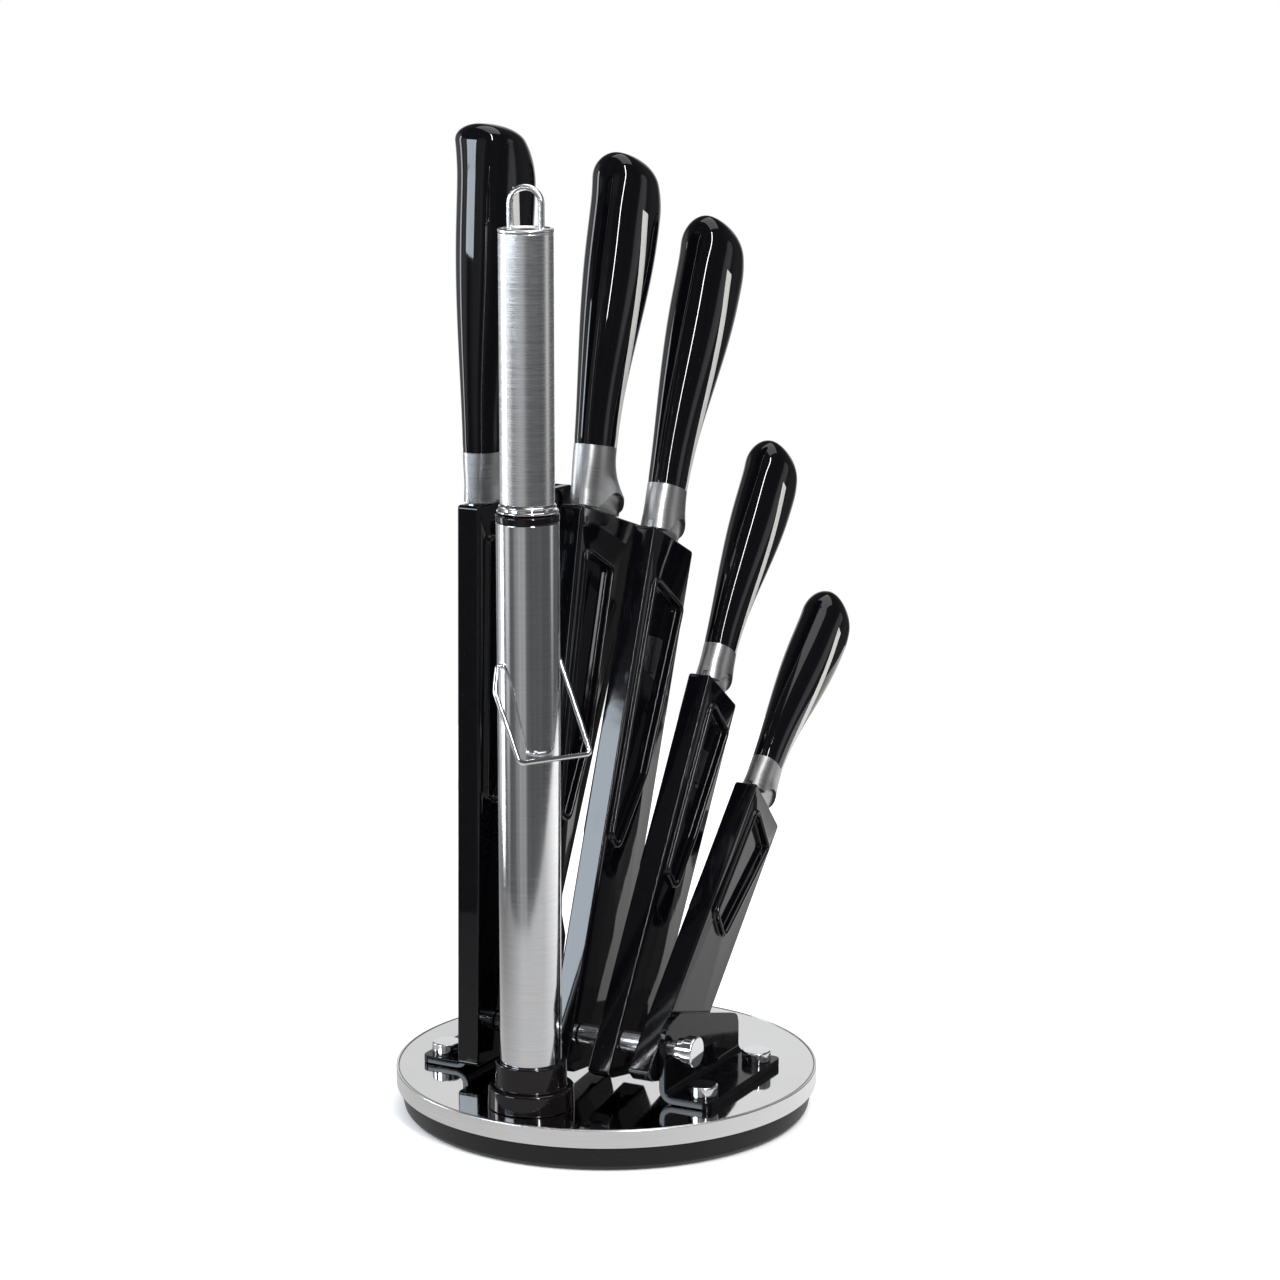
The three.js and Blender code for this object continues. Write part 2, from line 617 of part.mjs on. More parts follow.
piece(stand, 'grip_pad', grip_pad(), RUBBER);
piece(stand, 'foot_pan', foot_pan(), SATIN_BLACK);
piece(stand, 'lower_race', lower_race(), SATIN_STEEL);
piece(stand, 'pivot_screw', pivot_screw(), SATIN_STEEL);
piece(stand, 'pivot_nut', pivot_nut(), SATIN_STEEL);
piece(stand, 'ball_ring', ball_ring(), SATIN_STEEL);
piece(stand, 'upper_race', upper_race(), SATIN_STEEL);
piece(stand, 'turntable_plate', turntable_plate(), MIRROR_STEEL);
piece(stand, 'edge_ring', edge_ring(), POLISHED);

for (const [label, side] of [['left', -1], ['right', 1]]) {
  piece(stand, `${label}_bracket`, bracket(side), GLOSS_BLACK);
  BOLT_Y.forEach((y, i) => {
    piece(stand, `${label}_bolt_${i + 1}`, bracket_bolt(), CHROME, [side * BOLT_X, y, 0]);
  });
  const place = [0, ROD_Y, ROD_Z];
  const face = BRACKET_IN + BRACKET_T;
  const collar = ring_x(ROD_R + 0.1, 4.6, face + 0.1, face + 0.1 + COLLAR_T[label], 20);
  piece(stand, `${label}_collar`, side < 0 ? mirrored(collar) : collar, CHROME, place);
  piece(stand, `${label}_cap_nut`, side < 0 ? mirrored(cap_nut(label)) : cap_nut(label), CHROME, place);
}
piece(stand, 'cross_rod', cross_rod(), SATIN_STEEL, [0, ROD_Y, ROD_Z]);

const sheath_x = (i) => (i - (SHEATHS - 1) / 2) * PITCH;
for (let i = 0; i < SHEATHS - 1; i += 1) {
  const low = sheath_x(i) + SHEATH_T / 2 + GAP;
  const high = sheath_x(i + 1) - SHEATH_T / 2 - GAP;
  piece(stand, `spacer_${i + 1}`, ring_x(ROD_R + 0.1, 4, low, high, 20), SATIN_STEEL, [0, ROD_Y, ROD_Z]);
}

piece(stand, 'holder_cup', holder_cup(), GLOSS_BLACK, [CUP_X, CUP_Y, 0]);
piece(stand, 'cup_screw', cup_screw(), SATIN_STEEL, [CUP_X, CUP_Y, 0]);
piece(stand, 'holder_tube', holder_tube(), POLISHED, [CUP_X, CUP_Y, 0]);
piece(stand, 'tube_collar', tube_collar(), GLOSS_BLACK, [CUP_X, CUP_Y, 0]);
const bail = piece(stand, 'wire_bail', bail_wire(), CHROME, [CUP_X, CUP_Y, BAIL_Z]);
bail.rotation.z = rad(BAIL_TURN);

piece(stand, 'honing_rod', honing_rod(), SATIN_STEEL, [CUP_X, CUP_Y, 0]);
piece(stand, 'honing_ferrule', honing_ferrule(), CHROME, [CUP_X, CUP_Y, 0]);
piece(stand, 'honing_handle', honing_handle(), SATIN_STEEL, [CUP_X, CUP_Y, 0]);
piece(stand, 'honing_cap', honing_cap(), CHROME, [CUP_X, CUP_Y, 0]);
piece(stand, 'hanging_loop', hanging_loop(), CHROME, [CUP_X, CUP_Y, 0]);

SETS.forEach((row, i) => {
  const group = new THREE.Group();
  group.position.set(sheath_x(i), ROD_Y, ROD_Z);
  group.rotation.x = -rad(row.lean);
  stand.add(group);
  piece(group, `sheath_tray_${i + 1}`, sheath_tray(row), GLOSS_BLACK);
  piece(group, `sheath_cover_${i + 1}`, sheath_cover(row), GLOSS_BLACK);
  piece(group, `knife_blade_${i + 1}`, knife_blade(row), SATIN_STEEL);
  piece(group, `knife_handle_${i + 1}`, knife_handle(row), GLOSS_BLACK);
});

export default stand;
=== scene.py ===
"""Rotating knife stand: the visual model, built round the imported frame.

Shapes are drafted in millimetres and scaled to metres when a mesh is made. A sheath's and a knife's own
frame has X across the thickness, Y from spine to belly and Z up the sheath, with the cross rod at the origin.
"""

import json
import logging
import math
from dataclasses import dataclass
from enum import Enum
from typing import Sequence

import bmesh
import bpy
from mathutils import Matrix, Vector


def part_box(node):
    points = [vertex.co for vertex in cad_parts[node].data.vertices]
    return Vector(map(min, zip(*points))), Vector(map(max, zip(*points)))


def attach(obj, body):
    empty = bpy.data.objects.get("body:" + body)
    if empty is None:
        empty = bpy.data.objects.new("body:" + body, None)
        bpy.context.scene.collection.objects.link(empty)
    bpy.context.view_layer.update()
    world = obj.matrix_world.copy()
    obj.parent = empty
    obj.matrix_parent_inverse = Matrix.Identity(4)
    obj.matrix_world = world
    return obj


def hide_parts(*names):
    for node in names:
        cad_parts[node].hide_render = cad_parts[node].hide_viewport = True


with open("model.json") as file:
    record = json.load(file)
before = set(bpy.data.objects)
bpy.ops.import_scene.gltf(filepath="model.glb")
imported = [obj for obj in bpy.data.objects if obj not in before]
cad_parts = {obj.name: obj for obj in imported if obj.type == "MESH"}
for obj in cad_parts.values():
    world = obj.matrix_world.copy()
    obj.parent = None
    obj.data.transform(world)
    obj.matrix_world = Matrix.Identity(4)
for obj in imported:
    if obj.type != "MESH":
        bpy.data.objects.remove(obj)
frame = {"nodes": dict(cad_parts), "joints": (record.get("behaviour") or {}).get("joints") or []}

LOG = logging.getLogger("knife_stand")
MM = 0.001
SHARP = 38.0  # degrees between faces beyond which an edge stays sharp
Pair = tuple[float, float]
Triple = tuple[float, float, float]
Node = bpy.types.Node
Socket = bpy.types.NodeSocket
NodeTree = bpy.types.NodeTree
Material = bpy.types.Material
Object = bpy.types.Object


# ---------------------------------------------------------------- shader groups
class NodeSheet:
    """Adds nodes to one tree and joins them, so that a material or group reads top to bottom."""

    def __init__(self, tree: NodeTree) -> None:
        """Args:
            tree: the material's, group's or world's tree.
        """
        self.tree = tree

    def feed(self, socket: Socket, value: object) -> None:
        """Links an output to the socket, or sets the socket's own value."""
        if isinstance(value, Socket):
            self.tree.links.new(value, socket)
        else:
            socket.default_value = value

    def node(self, kind: str, *first: object, settings: dict | None = None, **inputs: object) -> Node:
        """Adds a node.

        Args:
            kind: the node's type name, without ShaderNode.
            first: a value or an output socket for each of its first inputs.
            settings: properties of the node itself.
            inputs: the same for each named input; spaces are written as underscores.

        Returns:
            The node.
        """
        made = self.tree.nodes.new(f"ShaderNode{kind}")
        for key, value in (settings or {}).items():
            setattr(made, key, value)
        for socket, value in zip(made.inputs, first):
            self.feed(socket, value)
        for key, value in inputs.items():
            self.feed(made.inputs[key.replace("_", " ")], value)
        return made

    def math(self, operation: str, a: object, b: object = 0.0, clamp: bool = False) -> Socket:
        """Returns the output of a Math node on a and b."""
        return self.node("Math", a, b, settings={"operation": operation, "use_clamp": clamp}).outputs[0]

    def product(self, first: Socket, *others: object) -> Socket:
        """Returns first times each of the others."""
        for other in others:
            first = self.math("MULTIPLY", first, other)
        return first

    def vectors(self, operation: str, a: object, b: object) -> Node:
        """Returns a Vector Math node on a and b."""
        return self.node("VectorMath", a, b, settings={"operation": operation})

    def blend(self, share: object, a: object, b: object) -> Socket:
        """Returns the colour between a and b by share."""
        return self.node("Mix", settings={"data_type": "RGBA"}, Factor=share, A=a, B=b).outputs["Result"]

    def remap(self, value: object, low: float, high: float, to_low: float = 0.0, to_high: float = 1.0) -> Socket:
        """Returns value moved from low..high to to_low..to_high, held at the ends."""
        made = self.node("MapRange", Value=value, From_Min=low, From_Max=high, To_Min=to_low, To_Max=to_high)
        return made.outputs["Result"]

    def noise(self, place: Socket, scale: object, detail: float, **more: object) -> Socket:
        """Returns the value of a noise texture."""
        return self.node("TexNoise", Vector=place, Scale=scale, Detail=detail, **more).outputs[0]


class Group(NodeSheet):
    """A shared shader group being drawn. It reads a place, Vector, and its own named values."""

    def __init__(self, name: str, outputs: Sequence[str], **inputs: float | Triple) -> None:
        """Args:
            name: the group's name.
            outputs: the names of its output values.
            inputs: each input's name with its default, a number or a vector.
        """
        super().__init__(bpy.data.node_groups.new(name, "ShaderNodeTree"))
        for label, default in {"Vector": (0.0, 0.0, 0.0), **inputs}.items():
            kind = "NodeSocketVector" if isinstance(default, tuple) else "NodeSocketFloat"
            self.tree.interface.new_socket(label, in_out="INPUT", socket_type=kind).default_value = default
        for label in outputs:
            self.tree.interface.new_socket(label, in_out="OUTPUT", socket_type="NodeSocketFloat")
        self.given = self.tree.nodes.new("NodeGroupInput").outputs
        self.result = self.tree.nodes.new("NodeGroupOutput").inputs
        self.place = self.given["Vector"]

    def give(self, **values: Socket) -> NodeTree:
        """Feeds the group's outputs and returns its tree."""
        for label, value in values.items():
            self.feed(self.result[label], value)
        return self.tree


def brushed_grain() -> NodeTree:
    """Builds the grain of brushed metal: fine streaks, long where Stretch is small.

    Returns:
        The group, with Value and Streaks outputs.
    """
    sheet = Group("brushed_grain", ("Value", "Streaks"), Stretch=(1.0, 1.0, 60.0), Fineness=90.0)
    place = sheet.vectors("MULTIPLY", sheet.place, sheet.given["Stretch"]).outputs[0]
    fine = sheet.noise(place, sheet.given["Fineness"], 5.0, Roughness=0.65)
    coarse = sheet.noise(place, sheet.product(sheet.given["Fineness"], 0.23), 2.0)
    both = sheet.math("ADD", sheet.product(fine, 0.7), sheet.product(coarse, 0.3))
    return sheet.give(Value=both, Streaks=sheet.remap(both, 0.42, 0.6))


def soft_patches() -> NodeTree:
    """Returns slow, cloudy variation for colour and gloss, a Value around 0.5."""
    sheet = Group("soft_patches", ("Value",), Size=20.0)
    return sheet.give(Value=sheet.noise(sheet.place, sheet.given["Size"], 3.0, Distortion=0.6))


def hairlines() -> NodeTree:
    """Builds the fine crossing hairlines of handled gloss.

    Returns:
        The group, with a Mask output that is 1 on a hairline.
    """
    sheet = Group("hairlines", ("Mask",), Scale=160.0, Amount=0.5)
    mask: Socket | float = 0.0
    for turn in (0.5, 1.9, 2.7):
        mapped = sheet.node("Mapping", Vector=sheet.place, Rotation=(turn, turn * 0.7, turn * 1.3),
                            Scale=(1.0, 0.05, 0.35))
        line = sheet.remap(sheet.noise(mapped.outputs[0], sheet.given["Scale"], 2.0), 0.66, 0.72)
        mask = sheet.math("MAXIMUM", line, mask)
    return sheet.give(Mask=sheet.math("MULTIPLY", mask, sheet.given["Amount"], clamp=True))


def dust() -> NodeTree:
    """Builds sparse specks of dust.

    Returns:
        The group, with a Mask output that is 1 on a speck.
    """
    sheet = Group("dust", ("Mask",), Scale=420.0, Amount=0.5)
    cells = sheet.node("TexVoronoi", Vector=sheet.place, Scale=sheet.given["Scale"])
    speck = sheet.remap(cells.outputs["Distance"], 0.07, 0.04)
    where = sheet.remap(sheet.noise(sheet.place, 38.0, 1.0), 0.5, 0.62)
    return sheet.give(Mask=sheet.product(speck, where, sheet.given["Amount"]))


def edge_wear() -> NodeTree:
    """Builds a mask of rubbed edges, broken up by noise.

    Returns:
        The group, with a Mask output that is 1 on a worn edge.
    """
    sheet = Group("edge_wear", ("Mask",), Amount=0.5)
    edge = sheet.remap(sheet.node("NewGeometry").outputs["Pointiness"], 0.53, 0.62)
    patchy = sheet.remap(sheet.noise(sheet.place, 240.0, 3.0), 0.42, 0.62)
    return sheet.give(Mask=sheet.product(edge, patchy, sheet.given["Amount"]))


class Effects:
    """The shared shader groups, each built once."""

    def __init__(self) -> None:
        """Builds every group."""
        self.grain = brushed_grain()
        self.patches = soft_patches()
        self.hairlines = hairlines()
        self.dust = dust()
        self.wear = edge_wear()


# ---------------------------------------------------------------- finishes
def rgba(color: Triple, scale: float = 1.0) -> tuple[float, ...]:
    """Returns a colour times scale, with its alpha."""
    return (*(min(1.0, c * scale) for c in color), 1.0)


class Brush(Enum):
    """The way a metal is brushed, as the stretch of its grain along X, Y and Z."""

    ROUND_THE_AXIS = (1.0, 1.0, 55.0)
    ALONG_THE_AXIS = (60.0, 60.0, 1.2)
    ACROSS_THE_SIDE = (8.0, 1.5, 60.0)
    ALONG_THE_ROD = (1.2, 60.0, 60.0)


class Sheet(NodeSheet):
    """A material being drawn: its Principled shader and where its surface lies."""

    def __init__(self, name: str, effects: Effects | None = None) -> None:
        """Args:
            name: the material's name.
            effects: the shared groups, where the material uses them.
        """
        self.material = bpy.data.materials.new(name)
        self.material.use_nodes = True
        super().__init__(self.material.node_tree)
        self.effects = effects
        self.shader = self.tree.nodes["Principled BSDF"]
        self.place = self.node("TexCoord").outputs["Object"]

    def effect(self, name: str, **inputs: object) -> bpy.types.NodeOutputs:
        """Places a shared group with its own values and returns its outputs."""
        group = {"node_tree": getattr(self.effects, name)}
        return self.node("Group", settings=group, Vector=self.place, **inputs).outputs

    def set(self, **values: object) -> None:
        """Sets or links the shader's sockets; spaces are written as underscores."""
        for key, value in values.items():
            self.feed(self.shader.inputs[key.replace("_", " ")], value)

    def bump(self, height: Socket, strength: float, distance: float) -> None:
        """Feeds the shader's normal from a height in metres times distance."""
        self.set(Normal=self.node("Bump", Height=height, Strength=strength, Distance=distance).outputs[0])


@dataclass(frozen=True)
class GlossMoulding:
    """Black moulded plastic with a hard gloss."""

    name: str
    color: Triple = (0.0011, 0.0011, 0.0017)
    roughness: float = 0.07
    ripple: float = 0.10
    dust: float = 0.35
    ior: float = 1.42

    def make(self, effects: Effects) -> Material:
        """Returns the material."""
        sheet = Sheet(self.name, effects)
        patches = sheet.effect("patches", Size=26.0)[0]
        lines = sheet.effect("hairlines", Scale=190.0, Amount=0.5)[0]
        specks = sheet.effect("dust", Scale=430.0, Amount=self.dust)[0]
        wear = sheet.effect("wear", Amount=0.35)[0]
        worn = sheet.blend(wear, sheet.blend(patches, rgba(self.color), rgba(self.color, 1.7)),
                           (0.012, 0.012, 0.014, 1.0))
        rough = sheet.math("ADD", sheet.remap(patches, 0.35, 0.65, self.roughness * 0.75, self.roughness * 1.3),
                           sheet.product(lines, 0.12))
        sheet.set(Base_Color=sheet.blend(specks, worn, (0.22, 0.22, 0.23, 1.0)), IOR=self.ior,
                  Roughness=sheet.math("ADD", rough, sheet.product(wear, 0.2)))
        sheet.bump(sheet.noise(sheet.place, 95.0, 1.5), self.ripple, 0.0004)
        return sheet.material


@dataclass(frozen=True)
class SatinMoulding:
    """Black plastic or rubber with a fine matt grain."""

    name: str
    color: Triple = (0.012, 0.012, 0.014)
    roughness: float = 0.45
    grain: float = 900.0
    depth: float = 0.25

    def make(self, effects: Effects) -> Material:
        """Returns the material."""
        sheet = Sheet(self.name, effects)
        patches = sheet.effect("patches", Size=18.0)[0]
        specks = sheet.effect("dust", Scale=520.0, Amount=0.3)[0]
        base = sheet.blend(patches, rgba(self.color), rgba(self.color, 1.5))
        sheet.set(Base_Color=sheet.blend(specks, base, (0.2, 0.2, 0.2, 1.0)), Specular_IOR_Level=0.35,
                  Roughness=sheet.remap(patches, 0.3, 0.7, self.roughness * 0.85, self.roughness * 1.15))
        sheet.bump(sheet.noise(sheet.place, self.grain, 3.0), self.depth, 0.0003)
        return sheet.material


@dataclass(frozen=True)
class WorkedSteel:
    """Steel with a brushed or polished grain."""

    name: str
    color: Triple = (0.60, 0.60, 0.61)
    roughness: float = 0.3
    brush: Brush = Brush.ROUND_THE_AXIS
    fineness: float = 90.0
    contrast: float = 0.18
    depth: float = 0.15
    hairlines: float = 0.3
    stretch: float = 0.0
    metal: float = 1.0

    def make(self, effects: Effects) -> Material:
        """Returns the material."""
        sheet = Sheet(self.name, effects)
        grain = sheet.effect("grain", Stretch=self.brush.value, Fineness=self.fineness)
        patches = sheet.effect("patches", Size=14.0)[0]
        lines = sheet.effect("hairlines", Scale=150.0, Amount=self.hairlines)[0]
        tone = sheet.blend(grain["Streaks"], rgba(self.color, 1.0 - self.contrast),
                           rgba(self.color, 1.0 + 0.5 * self.contrast))
        rough = sheet.remap(grain["Value"], 0.35, 0.65, self.roughness * 0.75, self.roughness * 1.25)
        sheet.set(Base_Color=sheet.blend(sheet.remap(patches, 0.3, 0.7, 0.0, 0.12), tone, (0.35, 0.36, 0.38, 1.0)),
                  Metallic=self.metal, Roughness=sheet.math("ADD", rough, sheet.product(lines, 0.1)))
        sheet.bump(grain["Value"], self.depth, 0.00006)
        if self.stretch:
            around = sheet.node("Tangent", settings={"direction_type": "RADIAL", "axis": "Z"})
            sheet.set(Anisotropic=self.stretch, Tangent=around.outputs[0])
        return sheet.material


@dataclass(frozen=True)
class BrightPlate:
    """Mirror-bright chrome or polished sheet."""

    name: str
    color: Triple = (0.80, 0.81, 0.83)
    roughness: float = 0.04
    haze: float = 0.05

    def make(self, effects: Effects) -> Material:
        """Returns the material."""
        sheet = Sheet(self.name, effects)
        patches = sheet.effect("patches", Size=30.0)[0]
        lines = sheet.effect("hairlines", Scale=120.0, Amount=0.5)[0]
        specks = sheet.effect("dust", Scale=380.0, Amount=0.25)[0]
        tinted = sheet.blend(patches, rgba(self.color), rgba(self.color, 0.93))
        rough = sheet.math("ADD", sheet.remap(patches, 0.45, 0.75, 0.0, self.haze), sheet.product(lines, 0.06))
        sheet.set(Base_Color=sheet.blend(specks, tinted, (0.5, 0.5, 0.5, 1.0)), Metallic=1.0,
                  Roughness=sheet.math("ADD", rough, self.roughness))
        return sheet.material


class Finishes:
    """Every finish on the stand, made once."""

    def __init__(self, effects: Effects) -> None:
        """Args:
            effects: the shared shader groups.
        """
        around = Brush.ROUND_THE_AXIS
        self.sheath = GlossMoulding("sheath_gloss", roughness=0.05, dust=0.2).make(effects)
        self.handle = GlossMoulding("handle_gloss", roughness=0.035, ripple=0.04, dust=0.2).make(effects)
        self.enamel = GlossMoulding("bracket_enamel", (0.001, 0.001, 0.0014), 0.08, 0.15, 0.15, 1.28).make(effects)
        self.holder = GlossMoulding("holder_gloss", (0.0022, 0.0016, 0.002), 0.09, 0.12).make(effects)
        self.foot = SatinMoulding("foot_satin", (0.0022, 0.0022, 0.0026), 0.42).make(effects)
        self.rubber = SatinMoulding("grip_rubber", (0.004, 0.004, 0.004), 0.8, 500.0, 0.5).make(effects)
        self.plate = BrightPlate("plate_polish", (0.80, 0.795, 0.785), 0.045, 0.05).make(effects)
        self.chrome = BrightPlate("bright_chrome", (0.86, 0.87, 0.89), 0.03, 0.04).make(effects)
        self.ring = WorkedSteel("ring_satin", (0.90, 0.90, 0.91), 0.22, around, 60.0, 0.03, 0.02).make(effects)
        self.tube = WorkedSteel("tube_polish", (0.80, 0.81, 0.83), 0.12, around, 150.0, 0.06, 0.03, 0.2,
                                0.5).make(effects)
        self.grip = WorkedSteel("grip_brushed", (0.90, 0.90, 0.91), 0.24, around, 170.0, 0.12, 0.1, 0.2,
                                0.7).make(effects)
        self.bolster = WorkedSteel("bolster_satin", (0.50, 0.50, 0.505), 0.34, around, 150.0, 0.08, 0.04, 0.2,
                                   0.4).make(effects)
        self.strip = WorkedSteel("tang_satin", (0.52, 0.51, 0.49), 0.5, Brush.ALONG_THE_AXIS, 60.0, 0.08, 0.08,
                                 metal=0.35).make(effects)
        self.blade = WorkedSteel("blade_satin", (0.66, 0.67, 0.68), 0.2, Brush.ACROSS_THE_SIDE, 80.0, 0.12,
                                 0.08).make(effects)
        self.rod = WorkedSteel("rod_satin", (0.6, 0.61, 0.63), 0.26, Brush.ALONG_THE_ROD, 60.0, 0.08,
                               0.05).make(effects)
        self.bearing = WorkedSteel("bearing_steel", (0.5, 0.5, 0.52), 0.35, around).make(effects)


# ---------------------------------------------------------------- drafting
def bend(before: Pair, corner: Pair, after: Pair, radius: float, share: float, steps: int) -> list[Pair]:
    """Rounds one corner.

    Args:
        before, corner, after: the corner between its neighbours.
        radius: the rounding's radius.
        share: the most of either side that the rounding takes.
        steps: pieces in the rounding.

    Returns:
        The points that stand in for the corner.
    """
    here = Vector(corner)
    back, ahead = Vector(before) - here, Vector(after) - here
    angle = back.angle(ahead, math.pi)
    reach = min(radius / math.tan(angle / 2), share * back.length, share * ahead.length)
    start, end = here + back.normalized() * reach, here + ahead.normalized() * reach
    made = []
    for k in range(steps + 1):
        t = k / steps
        point = start * (1 - t) ** 2 + here * (2 * t * (1 - t)) + end * t ** 2
        made.append((point.x, point.y))
    return made


def fillet(corners: Sequence[Pair], radii: float | Sequence[float], steps: int = 4) -> list[Pair]:
    """Rounds the corners of a closed outline.

    Args:
        corners: the outline's corners.
        radii: one radius for all corners, or one for each; 0 leaves a corner sharp.
        steps: pieces in each rounded corner.

    Returns:
        The rounded outline.
    """
    made: list[Pair] = []
    straight = math.radians(176)
    for i, corner in enumerate(corners):
        radius = radii if isinstance(radii, (int, float)) else radii[i]
        before, after = corners[i - 1], corners[(i + 1) % len(corners)]
        angle = (Vector(before) - Vector(corner)).angle(Vector(after) - Vector(corner), math.pi)
        made += [corner] if radius <= 0 or angle > straight else bend(before, corner, after, radius, 0.48, steps)
    return made


def open_fillet(corners: Sequence[Pair], radii: Sequence[float], steps: int = 6) -> list[Pair]:
    """Rounds the inner corners of an open path."""
    made = [corners[0]]
    for i in range(1, len(corners) - 1):
        made += bend(corners[i - 1], corners[i], corners[i + 1], radii[i], 0.45, steps)
    return [*made, corners[-1]]


def along(corners: Sequence[Pair], at: float) -> float:
    """Returns the second number that a path of (first, second) corners gives at a first number."""
    for (a0, b0), (a1, b1) in zip(corners, corners[1:]):
        if at <= a1:
            return b0 + (b1 - b0) * max(0.0, (at - a0) / (a1 - a0))
    return corners[-1][1]


def inset(outline: Sequence[Pair], distance: float) -> list[Pair]:
    """Moves a closed, anticlockwise outline inwards by distance (outwards if it is negative)."""
    made = []
    for i, corner in enumerate(outline):
        a = (Vector(corner) - Vector(outline[i - 1])).normalized()
        b = (Vector(outline[(i + 1) % len(outline)]) - Vector(corner)).normalized()
        scale = distance / max(0.3, 1 + a.dot(b))
        made.append((corner[0] - (a.y + b.y) * scale, corner[1] + (a.x + b.x) * scale))
    return made


def quarter(steps: int) -> list[Pair]:
    """Returns points of a quarter circle from (1, 0) to (0, 1)."""
    return [(math.cos(k / steps * math.pi / 2), math.sin(k / steps * math.pi / 2)) for k in range(steps + 1)]


class Draft:
    """A mesh being drawn in millimetres."""

    def __init__(self) -> None:
        """Starts an empty mesh."""
        self.bm = bmesh.new()

    def ring(self, points: Sequence[Triple]) -> list[bmesh.types.BMVert]:
        """Returns new vertices at points."""
        return [self.bm.verts.new(p) for p in points]

    def bridge(self, rings: Sequence[list]) -> None:
        """Joins closed rings of the same length, one after another, by bands of faces."""
        for a, b in zip(rings, rings[1:]):
            for i in range(len(a)):
                k = (i + 1) % len(a)
                self.bm.faces.new((a[i], a[k], b[k], b[i]))

    def stack(self, rings: Sequence[Sequence[Triple]]) -> "Draft":
        """Joins rings of points one after another, caps both ends and returns the draft."""
        made = [self.ring(points) for points in rings]
        self.bridge(made)
        self.bm.faces.new(made[0])
        self.bm.faces.new(made[-1])
        return self

    def fill(self, outer: list, inner: list) -> None:
        """Fills the flat band between an outer and an inner ring."""
        edges = []
        for ring in (outer, inner):
            for i, vert in enumerate(ring):
                pair = (vert, ring[(i + 1) % len(ring)])
                edges.append(self.bm.edges.get(pair) or self.bm.edges.new(pair))
        bmesh.ops.triangle_fill(self.bm, use_beauty=True, use_dissolve=False, edges=edges)

    def turned(self, profile: Sequence[Pair], segments: int, middle: Triple = (0, 0, 0), axis: str = "Z") -> "Draft":
        """Turns a closed profile of (radius, height) round an axis through middle and returns the draft."""
        made = []
        for k in range(segments):
            turn = 2 * math.pi * k / segments
            points = []
            for r, h in profile:
                across, up = r * math.cos(turn), r * math.sin(turn)
                local = (across, up, h) if axis == "Z" else (h, across, up)
                points.append(tuple(m + p for m, p in zip(middle, local)))
            made.append(self.ring(points))
        for i, (r, _) in enumerate(profile):
            if r < 1e-6:
                for ring in made[1:]:
                    ring[i] = made[0][i]
        for a, b in zip(made, made[1:] + made[:1]):
            for i in range(len(profile)):
                n = (i + 1) % len(profile)
                corners = list(dict.fromkeys((a[i], a[n], b[n], b[i])))
                if len(corners) > 2:
                    self.bm.faces.new(corners)
        return self

    def swept(self, path: Sequence[Triple], radius: float, sides: int = 14) -> "Draft":
        """Sweeps a round wire along path and returns the draft."""
        points = [Vector(p) for p in path]
        rings = []
        side = Vector((0.0, 0.0, 1.0))
        for i, point in enumerate(points):
            ahead = (points[min(i + 1, len(points) - 1)] - points[max(i - 1, 0)]).normalized()
            if i == 0 and abs(ahead.dot(side)) > 0.9:
                side = Vector((1.0, 0.0, 0.0))
            side = (side - ahead * side.dot(ahead)).normalized()
            other = ahead.cross(side)
            rings.append([tuple(point + (side * math.cos(t) + other * math.sin(t)) * radius)
                          for t in (2 * math.pi * k / sides for k in range(sides))])
        return self.stack(rings)

    def piece(self, name: str, material: Material, place: Matrix | None = None, smooth: float = SHARP) -> Object:
        """Makes the object.

        Args:
            name: its name.
            material: its finish.
            place: its own frame in millimetres, or None for the row frame.
            smooth: edges sharper than this many degrees stay sharp.

        Returns:
            The object, in metres.
        """
        bmesh.ops.remove_doubles(self.bm, verts=self.bm.verts, dist=1e-5)
        loose = [v for v in self.bm.verts if not v.link_faces]
        bmesh.ops.delete(self.bm, geom=loose, context="VERTS")
        bmesh.ops.recalc_face_normals(self.bm, faces=self.bm.faces)
        bmesh.ops.scale(self.bm, vec=(MM, MM, MM), verts=self.bm.verts)
        mesh = bpy.data.meshes.new(name)
        self.bm.to_mesh(mesh)
        self.bm.free()
        mesh.materials.append(material)
        made = link(name, mesh)
        if place is not None:
            shift = place.copy()
            shift.translation *= MM
            made.matrix_world = shift
        shade(made, smooth)
        return made


def link(name: str, data: bpy.types.ID) -> Object:
    """Returns a new object in the scene that shows data."""
    made = bpy.data.objects.new(name, data)
    bpy.context.scene.collection.objects.link(made)
    return made


def shade(piece: Object, smooth: float) -> None:
    """Shades a piece smooth between its sharp edges, with its flat faces flat beside rounded ones."""
    piece.data.shade_smooth()
    piece.data.set_sharp_from_angle(angle=math.radians(smooth))
    piece.modifiers.new("flat_faces", "WEIGHTED_NORMAL").keep_sharp = True


def cut(piece: Object, tools: Sequence[Object]) -> None:
    """Cuts the tools' shapes out of a piece, then removes the tools."""
    piece.modifiers.clear()
    for tool in tools:
        step = piece.modifiers.new("cut", "BOOLEAN")
        step.operation = "DIFFERENCE"
        step.solver = "EXACT"
        step.object = tool
    bpy.context.view_layer.update()
    done = bpy.data.meshes.new_from_object(piece.evaluated_get(bpy.context.evaluated_depsgraph_get()))
    piece.modifiers.clear()
    old = piece.data
    piece.data = done
    bpy.data.meshes.remove(old)
    for tool in tools:
        bpy.data.objects.remove(tool)
    shade(piece, SHARP)


